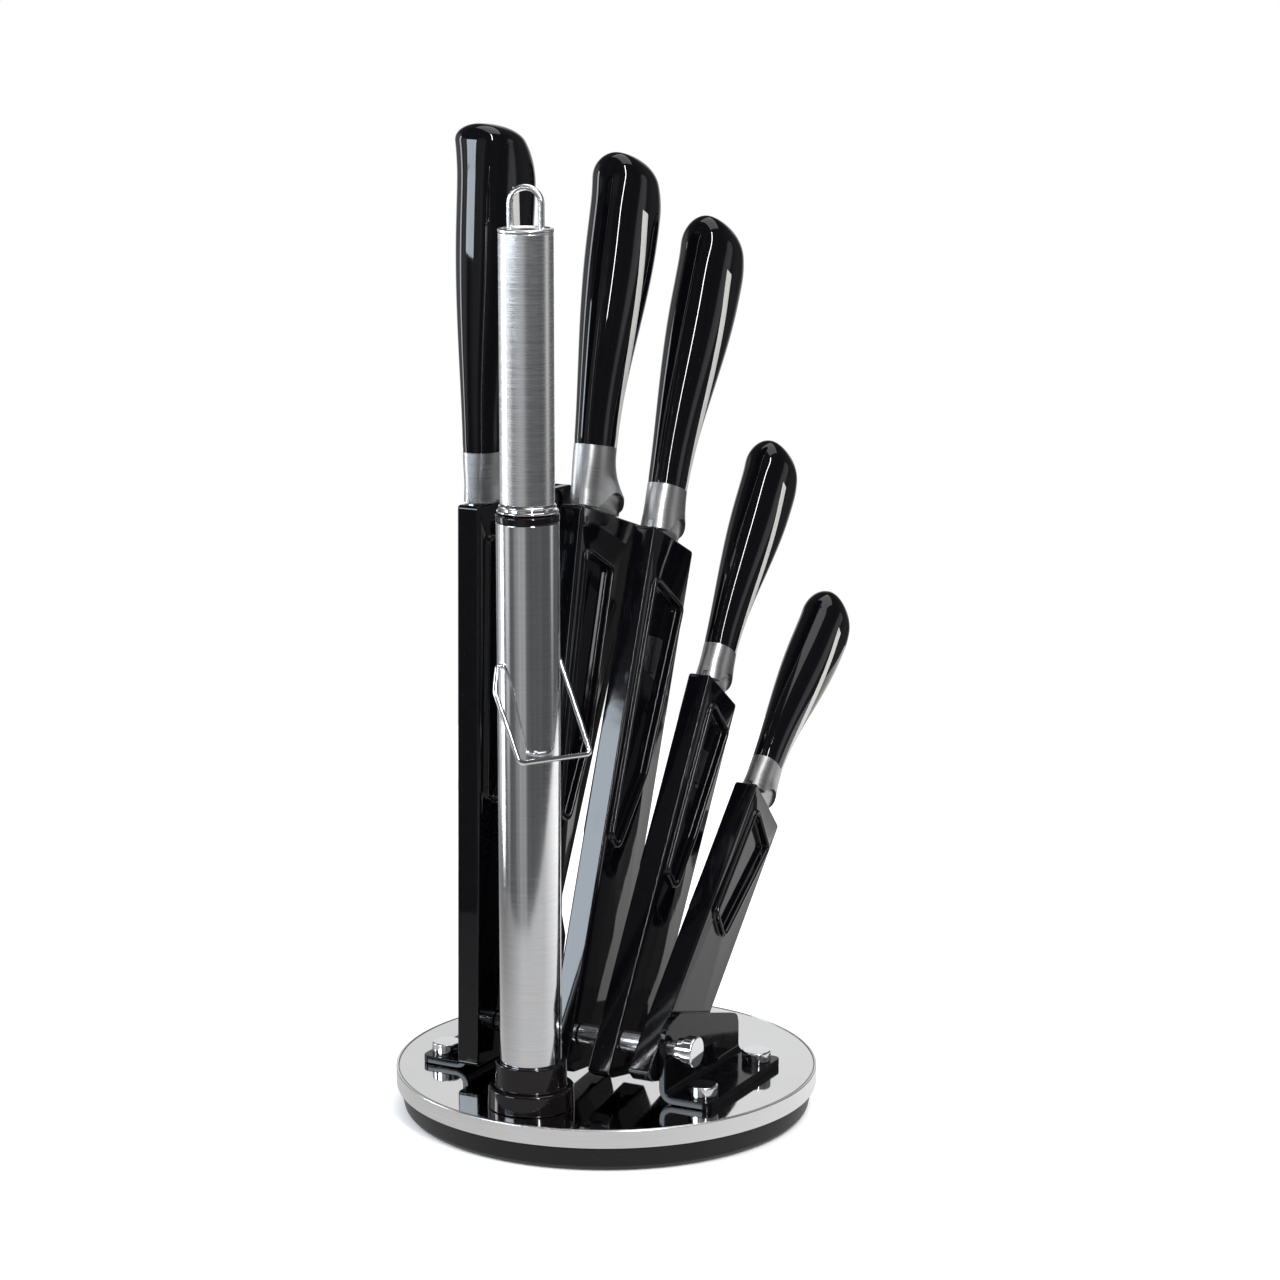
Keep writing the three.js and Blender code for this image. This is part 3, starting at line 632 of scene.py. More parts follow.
def middle_of(node: str) -> Vector:
    """Returns the centre of a CAD node, in millimetres."""
    low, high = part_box(node)
    return (low + high) / 2 / MM


def smooth_step(t: float) -> float:
    """Returns 0 below 0, 1 above 1, and an S curve between."""
    t = min(max(t, 0.0), 1.0)
    return t * t * (3 - 2 * t)


def dress(piece: Object, body: str, slot: str, *nodes: str) -> None:
    """Rides a piece on its body and hides the CAD nodes it stands for.

    Args:
        piece: the new piece.
        body: the CAD body that it moves with.
        slot: the record's material slot; not used.
        nodes: the CAD nodes that it replaces.
    """
    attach(piece, body)
    if nodes:
        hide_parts(*nodes)
    LOG.info("%s on %s", piece.name, body)


def coat_node(node: str, material: Material) -> None:
    """Gives a carried-over CAD node its finish."""
    mesh = frame["nodes"][node].data
    mesh.materials.clear()
    mesh.materials.append(material)


# ---------------------------------------------------------------- base
@dataclass
class Base:
    """The foot, its bearing and the round turntable."""

    finishes: Finishes
    radius: float = 80.0
    plate_top: float = 16.8
    ring_height: float = 6.9
    lip: float = 0.9
    pad_radius: float = 60.0
    segments: int = 180

    def build(self) -> None:
        """Builds and dresses the base."""
        self.foot()
        self.pad()
        self.plate()
        self.ring()
        for node in ("lower_race", "upper_race", "ball_ring", "pivot_screw", "pivot_nut"):
            coat_node(node, self.finishes.bearing)

    def foot(self) -> None:
        """Builds the foot's pan, its rim rolled under and its side flaring up to the ring."""
        top = self.plate_top - self.ring_height - 0.3
        profile = fillet([
            (62.5, 3.9), (60.4, 2.3), (60.4, 0.5), (75.4, 0.4), (77.0, 2.2), (self.radius - 1.5, top),
            (self.radius - 3.8, top), (self.radius - 5.4, 4.2),
        ], [0.4, 0.3, 0.4, 1.0, 2.2, 0.5, 0.4, 1.2], 5)
        draft = Draft().turned(profile, self.segments)
        draft.turned(fillet([(9.2, 2.5), (62.6, 2.5), (62.6, 4.0), (9.2, 4.0)], 0.3, 2), 96)
        draft.turned(fillet([(3.4, 4.2), (9.2, 4.2), (9.2, 10.3), (3.4, 10.3)], 0.3, 2), 48)
        dress(draft.piece("foot_shell", self.finishes.foot), "foot", "satin_black", "foot_pan")

    def pad(self) -> None:
        """Builds the grip pad, with shallow rings pressed into its underside."""
        profile: list[Pair] = [(0.0, 0.0)]
        for r in range(12, 58, 6):
            profile += [(r, 0.0), (r + 0.5, 0.5), (r + 1.5, 0.5), (r + 2.0, 0.0)]
        edge = self.pad_radius - 0.1
        profile += [(self.pad_radius - 0.8, 0.0), (edge, 0.6), (edge, 2.0), (0.0, 2.0)]
        made = Draft().turned(profile, 120).piece("grip_pad_ribbed", self.finishes.rubber)
        dress(made, "foot", "rubber", "grip_pad")

    def plate(self) -> None:
        """Builds the polished top plate."""
        edge, top = self.radius - self.lip - 0.15, self.plate_top - 0.1
        profile = fillet([(0, 14.4), (edge, 14.4), (edge, top), (0, top)], [0, 0.3, 0.5, 0], 4)
        made = Draft().turned(profile, self.segments).piece("polished_plate", self.finishes.plate)
        dress(made, "turntable", "polished_steel", "turntable_plate")

    def ring(self) -> None:
        """Builds the edge ring, a rolled band with a thin lip over the plate."""
        low = self.plate_top - self.ring_height
        inner = self.radius - self.lip
        profile = fillet([
            (inner - 0.4, low), (self.radius - 0.1, low), (self.radius, self.plate_top), (inner, self.plate_top),
            (inner, 14.2), (inner - 0.9, 14.0),
        ], [0.3, 0.9, 0.8, 0.25, 0.2, 0.2], 5)
        ledge = fillet([(inner - 4, 13.2), (inner - 0.5, 13.2), (inner - 0.5, 14.2), (inner - 4, 14.2)], 0.2, 2)
        draft = Draft().turned(profile, self.segments).turned(ledge, self.segments)
        dress(draft.piece("rolled_edge_ring", self.finishes.ring), "turntable", "satin_steel", "edge_ring")


# ---------------------------------------------------------------- brackets and cross rod
@dataclass
class Bracket:
    """One bent bracket with its bolts, collar and cap nut."""

    finishes: Finishes
    side: int
    rod: Vector
    inner: float = 40.4
    thick: float = 2.7
    flange: float = 18.0
    flange_thick: float = 3.0
    front: float = -35.0
    back: float = 26.6
    floor: float = 16.8
    bend: float = 2.6
    round_off: float = 0.5
    top: float = 48.0
    bolt_x: float = 54.6
    bolts: Pair = (-27.0, 18.0)

    @property
    def label(self) -> str:
        """The side's name."""
        return "right" if self.side > 0 else "left"

    @property
    def collar_thick(self) -> float:
        """The collar's thickness; the left end of the rod is kept low."""
        return 2.7 if self.side > 0 else 0.8

    @property
    def cap_thick(self) -> float:
        """The cap nut's height."""
        return 4.6 if self.side > 0 else 1.8

    def build(self) -> None:
        """Builds the bracket and its fixings."""
        self.plate()
        for i, y in enumerate(self.bolts):
            self.bolt(i + 1, y)
        self.collar()
        self.cap_nut()

    def reach(self, z: float) -> Pair:
        """Returns how far the upright runs along Y at a height, front first."""
        corners_front = [(self.floor, self.front), (40.5, self.front), (44.0, self.front + 1.2),
                         (46.4, self.front + 4.4), (self.top, -24.0)]
        corners_back = [(self.floor, self.back), (31.0, self.back), (34.0, self.back - 1.0), (35.6, self.back - 3.6),
                        (47.2, -18.6), (self.top, -22.0)]
        return along(corners_front, z), along(corners_back, z)

    def stations(self) -> list[tuple[float, float, float, float, Pair]]:
        """Follows the plate from the flange's edge, round the bend and up.

        Returns:
            At each station, X and Z outside, X and Z inside, and the plate's ends along Y.
        """
        outer, floor, upper = self.inner + self.thick, self.floor, self.floor + self.flange_thick
        made = []
        for c, s in quarter(6):
            x = outer + self.flange - 3.0 * (1 - c)
            trim = 3.0 * (1 - s)
            made.append((x, upper, x, floor, (self.front + trim, self.back - trim)))
        cx, cz = outer + self.bend, upper + self.bend
        for c, s in quarter(5):
            made.append((cx - self.bend * s, cz - self.bend * c, cx - (self.bend + self.thick) * s,
                         cz - (self.bend + self.flange_thick) * c, (self.front, self.back)))
        start, count = 22.6, 24
        for k in range(1, count + 1):
            z = start + (self.top - start) * (k / count)
            made.append((outer, z, self.inner, z, self.reach(z)))
        return made

    def plate(self) -> None:
        """Builds the bent plate, swept along its stations with its edges rounded off."""
        rings = []
        for xo, zo, xi, zi, (y0, y1) in self.stations():
            across = Vector((xo - xi, zo - zi)).normalized() * self.round_off
            ring = []
            for x, z, y, inward, way, flip in ((xo, zo, y1, -1, -1, False), (xo, zo, y0, -1, 1, True),
                                               (xi, zi, y0, 1, 1, False), (xi, zi, y1, 1, -1, True)):
                for c, s in quarter(3):
                    c, s = (s, c) if flip else (c, s)
                    ring.append((self.side * (x + inward * across.x * (1 - s)), y + way * self.round_off * (1 - c),
                                 z + inward * across.y * (1 - s)))
            rings.append(ring)
        made = Draft().stack(rings).piece(f"{self.label}_bent_bracket", self.finishes.enamel, smooth=30.0)
        dress(made, "turntable", "bracket_black", f"{self.label}_bracket")

    def bolt(self, number: int, y: float) -> None:
        """Builds one barrel-headed bolt."""
        seat = self.floor + self.flange_thick
        profile = fillet([(0, seat - 0.4), (5.3, seat - 0.4), (5.3, seat + 0.5), (5.5, seat + 0.6), (5.5, seat + 4.2),
                          (0, seat + 4.3)], [0, 0.1, 0.1, 0.1, 0.7, 0], 5)
        at = (self.side * self.bolt_x, y, 0)
        draft = Draft().turned(profile, 64, at).turned([(0, 12.9), (2.5, 12.9), (2.5, seat), (0, seat)], 32, at)
        dress(draft.piece(f"{self.label}_barrel_bolt_{number}", self.finishes.chrome), "turntable", "chrome",
              f"{self.label}_bolt_{number}")

    def on_rod(self, name: str, profile: Sequence[Pair], segments: int, node: str) -> None:
        """Turns a chrome fixing on the cross rod's axis and dresses it."""
        draft = Draft().turned([(r, self.side * h) for r, h in profile], segments, tuple(self.rod), axis="X")
        made = draft.piece(f"{self.label}_{name}", self.finishes.chrome)
        dress(made, "turntable", "chrome", f"{self.label}_{node}")

    def collar(self) -> None:
        """Builds the chrome collar between the bracket and the cap nut."""
        low = self.inner + self.thick + 0.1
        top = low + self.collar_thick
        turn = 0.1 + 0.15 * self.collar_thick
        profile = fillet([(3.1, low), (4.6, low), (4.6, top), (3.1, top)], [0.2, turn, turn, 0.2], 4)
        self.on_rod("chrome_collar", profile, 56, "collar")

    def cap_nut(self) -> None:
        """Builds the domed barrel nut on the rod's end."""
        low = self.inner + self.thick + self.collar_thick + 0.2
        top = low + self.cap_thick
        neck = low + 0.13 * self.cap_thick
        profile = fillet([(0, low), (5.3, low), (5.3, neck), (5.8, neck + 0.2), (5.8, top), (0, top + 0.1)],
                         [0, 0.1, 0.1, 0.1, 0.17 * self.cap_thick, 0], 5)
        self.on_rod("barrel_nut", profile, 64, "cap_nut")


@dataclass
class CrossRod:
    """The rod that the sheaths hang on, and the spacers between them."""

    finishes: Finishes
    rod: Vector
    left: float = -44.5
    right: float = 49.0

    def build(self) -> None:
        """Builds the rod and its spacers."""
        profile = fillet([(0, self.left), (3.0, self.left), (3.0, self.right), (0, self.right)], [0, 0.4, 0.4, 0], 3)
        self.turn("ground_rod", profile, tuple(self.rod), "cross_rod")
        for i in range(1, 5):
            x0, x1 = (corner.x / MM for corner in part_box(f"spacer_{i}"))
            profile = fillet([(3.1, x0), (4.0, x0), (4.0, x1), (3.1, x1)], [0.1, 0.35, 0.35, 0.1], 3)
            self.turn(f"turned_spacer_{i}", profile, (0, self.rod.y, self.rod.z), f"spacer_{i}")

    def turn(self, name: str, profile: Sequence[Pair], middle: Triple, node: str) -> None:
        """Turns a piece along the rod and dresses it."""
        made = Draft().turned(profile, 48, middle, axis="X").piece(name, self.finishes.rod)
        dress(made, "turntable", "satin_steel", node)


# ---------------------------------------------------------------- honing steel and its holder
@dataclass
class OnTheTube:
    """What the steel's holder and the honing steel share: the tube's axis and a lathe on it."""

    finishes: Finishes
    foot: Vector
    body = "turntable"

    def lathe(self, name: str, profile: Sequence[Pair], material: Material, slot: str, node: str) -> None:
        """Turns a piece on the tube's axis and dresses it."""
        made = Draft().turned(profile, 96, (self.foot.x, self.foot.y, 0)).piece(name, material)
        dress(made, self.body, slot, node)

    def frame_at(self, height: float, turn: float) -> Matrix:
        """Returns the frame on the axis at a height, turned by an angle in degrees."""
        return Matrix.Translation((self.foot.x, self.foot.y, height)) @ Matrix.Rotation(math.radians(turn), 4, "Z")


@dataclass
class SteelHolder(OnTheTube):
    """The cup, the steel tube, its collar and the wire bail."""

    radius: float = 11.4
    wall: float = 0.8
    low: float = 19.3
    high: float = 233.7
    bail_wire: float = 0.95
    bail_height: float = 182.6
    bail_turn: float = -27.4
    bail_tilt: float = 26.0

    def build(self) -> None:
        """Builds the holder."""
        self.cup()
        self.tube()
        self.collar()
        self.bail()
        for side in (-1, 1):
            self.eyelet(side)
        coat_node("cup_screw", self.finishes.bearing)

    def cup(self) -> None:
        """Builds the stepped cup."""
        bore = self.radius + 0.2
        profile = fillet([
            (2.1, 16.9), (16.0, 16.9), (15.8, 24.5), (13.2, 24.9), (13.1, 34.0), (bore, 34.0), (bore, 19.1),
            (2.1, 19.1),
        ], [0, 0.4, 1.1, 0.5, 0.7, 0.4, 0, 0], 5)
        self.lathe("stepped_cup", profile, self.finishes.holder, "gloss_black", "holder_cup")

    def tube(self) -> None:
        """Builds the tube, with its top edge rolled in over the collar."""
        inner = self.radius - self.wall
        profile = fillet([(inner, self.low), (self.radius, self.low), (self.radius, self.high), (inner, self.high)],
                         [0.2, 0.3, 0.35, 0.2], 3)
        self.lathe("drawn_tube", profile, self.finishes.tube, "polished_steel", "holder_tube")

    def collar(self) -> None:
        """Builds the black collar with its thin lower lip."""
        inner = self.radius - self.wall - 0.1
        profile = fillet([
            (9.6, self.high - 5), (inner, self.high - 5), (inner, self.high + 0.1), (11.5, self.high + 0.1),
            (11.6, self.high + 2.9), (9.6, self.high + 2.9),
        ], [0.2, 0.3, 0, 0.4, 0.8, 0.5], 4)
        self.lathe("moulded_collar", profile, self.finishes.holder, "gloss_black", "tube_collar")

    def bail(self) -> None:
        """Builds the wire bail, bent at its corners, with its ends hooked into the tube."""
        tilt = math.radians(self.bail_tilt)
        hook = self.radius + 1.7
        corners = [(-self.radius + 1.7, 0), (-hook, 0), (-16.8, 9), (-14.2, 35.8), (16.0, 36.4), (hook + 0.3, 3.5),
                   (hook, 0), (self.radius - 1.7, 0)]
        outline = open_fillet(corners, [0, 1.2, 6.0, 2.4, 2.0, 3.0, 1.2, 0])
        path = [(reach * math.sin(tilt), y, -reach * math.cos(tilt)) for y, reach in outline]
        made = Draft().swept(path, self.bail_wire, 16).piece("bent_bail", self.finishes.chrome,
                                                   self.frame_at(self.bail_height, self.bail_turn))
        dress(made, "bail", "chrome", "wire_bail")

    def eyelet(self, side: int) -> None:
        """Builds the eyelet that one end of the bail goes through."""
        profile = fillet([(1.0, 0.0), (1.9, 0.0), (1.7, 0.55), (1.0, 0.6)], 0.15, 3)
        place = (self.frame_at(self.bail_height, self.bail_turn + 90 * side)
                 @ Matrix.Translation((self.radius - 0.2, 0, 0)) @ Matrix.Rotation(math.pi / 2, 4, "Y"))
        made = Draft().turned(profile, 32).piece(f"bail_eyelet_{1 if side > 0 else 2}", self.finishes.chrome, place)
        dress(made, "turntable", "chrome")


@dataclass
class HoningSteel(OnTheTube):
    """The grooved steel, its ferrule, its brushed tube handle and its hanging loop."""

    radius: float = 5.0
    tip: float = 31.3
    grooves: int = 40
    groove_depth: float = 0.16
    grip_radius: float = 9.75
    grip_low: float = 240.2
    grip_high: float = 336.0
    loop_top: float = 352.8
    loop_half: float = 5.7
    loop_wire: float = 1.15
    loop_turn: float = 14.0
    body = "honing_steel"

    def build(self) -> None:
        """Builds the honing steel."""
        self.rod()
        self.ferrule()
        self.handle()
        self.cap()
        self.loop()

    def rod(self) -> None:
        """Builds the rod with its fine grooves running lengthwise."""
        rings = []
        count = self.grooves * 3
        for z, share in ((self.tip, 0.55), (self.tip + 0.8, 0.8), (self.tip + 2.4, 0.97), (self.tip + 4, 1.0),
                         (140.0, 1.0), (self.grip_low, 1.0), (self.grip_low + 30, 1.0)):
            ring = []
            for k in range(count):
                turn = 2 * math.pi * k / count
                r = (self.radius - (self.groove_depth if k % 3 == 0 else 0.0)) * share
                ring.append((self.foot.x + r * math.cos(turn), self.foot.y + r * math.sin(turn), z))
            rings.append(ring)
        dress(Draft().stack(rings).piece("grooved_rod", self.finishes.blade), self.body, "satin_steel", "honing_rod")

    def ferrule(self) -> None:
        """Builds the ferrule with its two beads."""
        profile = fillet([
            (5.1, 237.0), (10.7, 237.0), (11.3, 237.6), (10.8, 238.2), (9.3, 238.3), (9.2, 238.8), (10.2, 239.0),
            (10.5, 239.5), (10.0, 240.0), (5.1, 240.1),
        ], [0, 0.3, 0.6, 0.3, 0.2, 0.2, 0.3, 0.5, 0.3, 0], 4)
        self.lathe("beaded_ferrule", profile, self.finishes.chrome, "chrome", "honing_ferrule")

    def handle(self) -> None:
        """Builds the brushed handle tube."""
        inner = self.grip_radius - 0.8
        outer, low, high = self.grip_radius, self.grip_low, self.grip_high
        profile = fillet([(inner, low), (outer, low), (outer, high), (inner, high)], [0.1, 0.5, 0.3, 0.1], 3)
        self.lathe("brushed_grip", profile, self.finishes.grip, "satin_steel", "honing_handle")

    def cap(self) -> None:
        """Builds the pressed end cap."""
        top = self.grip_high
        profile = fillet([
            (0, top - 3.9), (8.8, top - 3.9), (8.8, top + 0.1), (9.85, top + 0.1), (9.95, top + 1.4),
            (8.7, top + 1.6), (8.2, top + 1.1), (0, top + 1.2),
        ], [0, 0.3, 0.1, 0.2, 0.7, 0.4, 0.4, 0], 4)
        self.lathe("pressed_cap", profile, self.finishes.grip, "satin_steel", "honing_cap")

    def loop(self) -> None:
        """Builds the hanging loop."""
        half, foot = self.loop_half, self.grip_high - 1.5
        spring = self.loop_top - self.loop_wire - half
        path: list[Triple] = [(-half, 0, foot), (-half, 0, spring - 4)]
        for k in range(25):
            turn = math.pi * (1 - k / 24)
            path.append((half * math.cos(turn), 0, spring + half * math.sin(turn)))
        path += [(half, 0, spring - 4), (half, 0, foot)]
        made = Draft().swept(path, self.loop_wire, 18).piece("wire_loop", self.finishes.grip,
                                                             self.frame_at(0, self.loop_turn))
        dress(made, self.body, "chrome", "hanging_loop")


# ---------------------------------------------------------------- sheaths and knives
@dataclass(frozen=True)
class Row:
    """The sizes of one sheath and its knife, from the left-hand side of the stand."""

    rise: float
    mouth: float
    spine: float
    belly: float
    belly_low: float
    blade: float
    height: float
    seam: float
    grip: float
    spine_in: float
    neck: float
    swell: float
    thick: float
    rim: tuple[float, float, float, float, float]
    crown: float
    flare: float
    arch: float

    @property
    def stepped(self) -> bool:
        """True for the sheath that narrows towards its foot."""
        return self.belly_low < 20

    @property
    def back(self) -> float:
        """The depth of the knife's spine."""
        return -self.spine + self.spine_in


ROWS = (
    Row(197.5, 197, 15.1, 56, 48.5, 185, 64, 216.5, 118.5, 2.4, 22, 15, 23, (187.8, 84, 38, 9, 0.64), 0.055, 14, 6.8),
    Row(196, 191, 5.4, 46, 14.5, 150, 40, 219, 110, 4, 21, 13, 22.5, (181.4, 76, 23, 8.5, 0.64), 0.09, 11, 6.4),
    Row(192, 189, 7.6, 27.6, 27.6, 172, 28, 209.5, 106, 4.1, 19, 13.5, 22, (175, 69, 24.9, 8, 0.64), 0.11, 3.5, 6),
    Row(143.7, 141.7, 5.3, 23.1, 23.1, 122, 22, 158, 87, 3.9, 15.5, 12.5, 19, (136, 61, 20, 12, 0.45), 0.12, 2.5, 5),
    Row(112.4, 111.3, 5.9, 23.7, 23.7, 92, 22, 127, 81, 3.6, 15, 10.5, 18.5, (106, 52, 20.5, 14, 0.35), 0.13, 3, 4.6),
)


@dataclass
class Hung:
    """What a sheath and its knife share: their place on the cross rod and their lean."""

    finishes: Finishes
    number: int
    row: Row
    place: Matrix
    lean: float


@dataclass
class Sheath(Hung):
    """One moulded sheath with its slot and its raised rims."""

    half: float = 4.5
    edge: float = 0.75
    corner: float = 1.5
    drop: float = 14.5
    foot_low: float = 16.8 + 2.6 - 36.2
    bore_radius: float = 3.3
    slot_half: float = 1.5
    rail: float = 2.2
    rim_layers: tuple[Pair, ...] = ((0.0, 0.0), (0.08, 0.9), (0.28, 1.5), (0.65, 1.9), (1.05, 2.0), (1.45, 1.88),
                                    (1.78, 1.4), (1.95, 0.7), (2.05, -0.3), (2.2, -0.8), (2.6, -1.0))

    def build(self) -> None:
        """Builds the sheath."""
        layers = [(-self.half + self.edge * (1 - c), self.edge * (1 - s)) for c, s in quarter(3)]
        layers += [(-x, d) for x, d in reversed(layers)]
        draft = Draft()
        rings = [draft.ring([(x, y, z) for y, z in self.outline(d)]) for x, d in layers]
        draft.bridge(rings)
        for side, outer in ((-1, rings[0]), (1, rings[-1])):
            steps = [draft.ring([(side * (self.half + out), y, z) for y, z in self.rim(d)])
                     for d, out in self.rim_layers]
            draft.fill(outer, steps[0])
            draft.bridge(steps)
            draft.bm.faces.new(steps[-1])
        made = draft.piece(f"sheath_shell_{self.number}", self.finishes.sheath, self.place)
        cut(made, [self.slot(), self.bore()])
        dress(made, f"sheath_{self.number}", "gloss_black", f"sheath_tray_{self.number}",
              f"sheath_cover_{self.number}")

    def outline(self, distance: float) -> list[Pair]:
        """Returns the sheath's side view, moved in by distance."""
        row = self.row
        low = (self.foot_low + row.belly_low * math.sin(self.lean)) / math.cos(self.lean)
        corners = [(-row.spine, -self.drop), (0.0, -self.drop), (row.belly_low, max(-self.drop, low))]
        if row.stepped:
            corners += [(row.belly_low, 34.0), (8.0, 46.0)]
        corners += [(row.belly, row.mouth), (-row.spine, row.rise)]
        return fillet(inset(corners, distance), max(self.corner - distance, 0.5), 4)

    def rim(self, distance: float) -> list[Pair]:
        """Returns the recess's outline, moved in by distance."""
        top, low, reach, foot, knee = self.row.rim
        left = -self.row.spine + 3
        fall = (reach - left) * 0.27
        corners = [(left, low + 4.5), (left + foot, low),
                   (left + foot + (reach - left - foot) * knee, low + (top - low) * 0.3), (reach, top - fall),
                   (left + 1.5, top)]
        radii = [max(r - distance, 0.5) for r in (3.6, 4.0, 9.0, 3.8, 4.2)]
        return fillet(inset(corners, distance), radii, 5)

    def slot(self) -> bpy.types.Object:
        """Builds the shape that the knife's slot takes out."""
        row = self.row
        tip = row.mouth - row.blade - 4
        narrow = (10 if row.stepped else row.belly_low - self.rail) - 1
        corners = [(-row.spine + self.rail, tip), (narrow, tip + (6 if row.stepped else 0)),
                   (row.belly - self.rail, row.mouth), (row.belly - self.rail, row.rise + 5),
                   (-row.spine + self.rail, row.rise + 5)]
        sides = [[(x, y, z) for y, z in corners] for x in (-self.slot_half, self.slot_half)]
        return Draft().stack(sides).piece("slot_tool", self.finishes.sheath, self.place)

    def bore(self) -> bpy.types.Object:
        """Builds the shape that the cross rod's bore takes out."""
        end, radius = 2 * self.half, self.bore_radius
        draft = Draft().turned([(0, -end), (radius, -end), (radius, end), (0, end)], 40, axis="X")
        return draft.piece("bore_tool", self.finishes.sheath, self.place)


@dataclass
class Knife(Hung):
    """One knife: its handle, the strips of its tang, its bolster and its blade."""

    power: float = 0.85
    sides: int = 72
    rings: int = 64
    tang_rise: float = 0.8
    tang_foot: float = 0.78
    tang_drift: float = 0.25
    tang_slope: float = 1.3
    foot_gap: float = 0.8
    spine_thick: float = 2.2
    scoop_rows: int = 14
    neck_rows: int = 26

    @property
    def foot(self) -> float:
        """The height of the bolster's foot at the spine."""
        return self.row.rise + self.foot_gap

    def build(self) -> None:
        """Builds the knife."""
        self.handle()
        self.bolster()
        self.blade()
        for side in (-1, 1):
            self.strip(side)

    def add(self, name: str, rings: Sequence[Sequence[Triple]], material: Material, smooth: float, slot: str,
            *nodes: str) -> None:
        """Stacks rings into a piece that moves with the knife, and dresses it."""
        dress(Draft().stack(rings).piece(name, material, self.place, smooth), f"knife_{self.number}", slot, *nodes)

    def grip_at(self, f: float) -> tuple[float, float, float]:
        """Returns the handle's spine, belly and thickness a fraction f of the way to its butt."""
        row = self.row
        belly = row.back + row.neck
        close = math.sqrt(max(0.0, 1 - max(0.0, (f - 1 + row.crown) / row.crown) ** 2))
        fall = math.sqrt(max(0.0, 1 - max(0.0, (f - 0.8) / 0.2) ** 2))
        peak = row.back + 6
        back = row.back - 1.6 * math.sin(math.pi * min(1.0, f / 0.85))
        front = belly + row.swell * smooth_step(f / 0.84)
        thick = row.thick * (0.6 + 0.4 * smooth_step(f / 0.7)) * max(close, 0.02)
        return peak + (back - peak) * close, peak + (front - peak) * fall, thick

    def ovals(self) -> list[Pair]:
        """Returns points round an oval between a circle and a rectangle, 1 across and 1 deep."""
        turns = [2 * math.pi * k / self.sides for k in range(self.sides)]
        return [tuple(math.copysign(abs(v) ** self.power, v) for v in (math.cos(t), math.sin(t))) for t in turns]

    def section(self, spine: float, belly: float, thick: float, height: float, shrink: float = 0.0) -> list[Triple]:
        """Returns one ring of the handle or bolster."""
        middle, wide, tall = (spine + belly) / 2, thick / 2 - shrink, (belly - spine) / 2 - shrink
        return [(across * wide, middle + deep * tall, height) for across, deep in self.ovals()]

    def handle(self) -> None:
        """Builds the moulded handle."""
        row = self.row
        rings = [self.section(*self.grip_at(0), row.seam + up, shrink) for up, shrink in ((0.02, 0.28), (0.05, 0.12))]
        for k in range(1, self.rings + 1):
            f = min(math.sin(k / self.rings * math.pi / 2), 0.99995)
            rings.append(self.section(*self.grip_at(f), row.seam + row.grip * f))
        self.add(f"knife_grip_{self.number}", rings, self.finishes.handle, 60, "gloss_black",
                 f"knife_handle_{self.number}")

    def strip(self, side: int) -> None:
        """Builds the strip of the tang that shows on one side of the handle."""
        row, count, across = self.row, 48, 10
        rings = []
        for i in range(count + 1):
            f = i / count * self.tang_rise
            spine, belly, thick = self.grip_at(f)
            middle = row.back + row.neck * (self.tang_foot - self.tang_drift * f)
            half = row.neck * (2.4 - 0.9 * f) / 19
            outer, inner = [], []
            for k in range(across + 1):
                share = k / across
                y = middle - half + 2 * half * share
                reach = min(abs(y - (spine + belly) / 2) / ((belly - spine) / 2), 0.999)
                x = thick / 2 * (1 - reach ** (2 / self.power)) ** (self.power / 2)
                z = row.seam + row.grip * f + self.tang_slope * (1 - share) * (i / count) ** 12
                z -= 0.3 if i == 0 else 0
                lift = 0.07 if 0 < k < across else -0.02
                outer.append((side * (x + lift), y, z))
                inner.append((side * (x - 0.8), y, z))
            rings.append(outer + inner[::-1])
        name = f"tang_strip_{self.number}_{'right' if side > 0 else 'left'}"
        self.add(name, rings, self.finishes.strip, SHARP, "satin_steel")

    def bottom(self, depth: float) -> float:
        """Returns how high the bolster's foot is at a depth: it follows the sheath's mouth."""
        row = self.row
        return self.foot + (row.mouth - row.rise) * (depth + row.spine) / (row.belly + row.spine)

    def bolster(self) -> None:
        """Builds the bolster, scooped to the blade under an arched ledge."""
        row = self.row
        spine, neck_belly, neck_thick = self.grip_at(0)
        ovals = self.ovals()
        top = row.seam - 0.05
        tall = top - self.foot
        rings = []
        for i in range(self.scoop_rows + self.neck_rows + 1):
            ring = []
            for across, deep in ovals:
                u = max(0.0, ((deep + 1) / 2 - 0.2) / 0.8)
                ledge = row.arch * math.sin(math.pi * min(u, 1.0)) ** 0.8 + 1.0 * u
                edge = max(ledge, 0.8)
                if i <= self.scoop_rows:
                    h = edge * math.sin(i / self.scoop_rows * math.pi / 2)
                else:
                    h = edge + (tall - edge) * (i - self.scoop_rows) / self.neck_rows
                share = h / tall
                belly = neck_belly + row.flare * max(0.0, 1 - max(0.0, (h - 6.0) / 14.0)) ** 2.2
                thick = neck_thick + 1.0 * (1 - smooth_step(share * 1.6)) + 0.05
                full = abs(across) * thick / 2
                thin = min(full, 1.2)
                if ledge > 0.8 and i < self.scoop_rows:
                    full -= (full - thin) * (1 - (h / edge) ** 2) ** 0.4 * min(1.0, (ledge - 0.8) / 1.5)
                y = (spine + belly) / 2 + deep * (belly - spine) / 2
                ring.append((math.copysign(full, across), y, self.bottom(y) * (1 - share) + top * share))
            rings.append(ring)
        self.add(f"bolster_{self.number}", rings, self.finishes.bolster, 35, "satin_steel",
                 f"knife_blade_{self.number}")

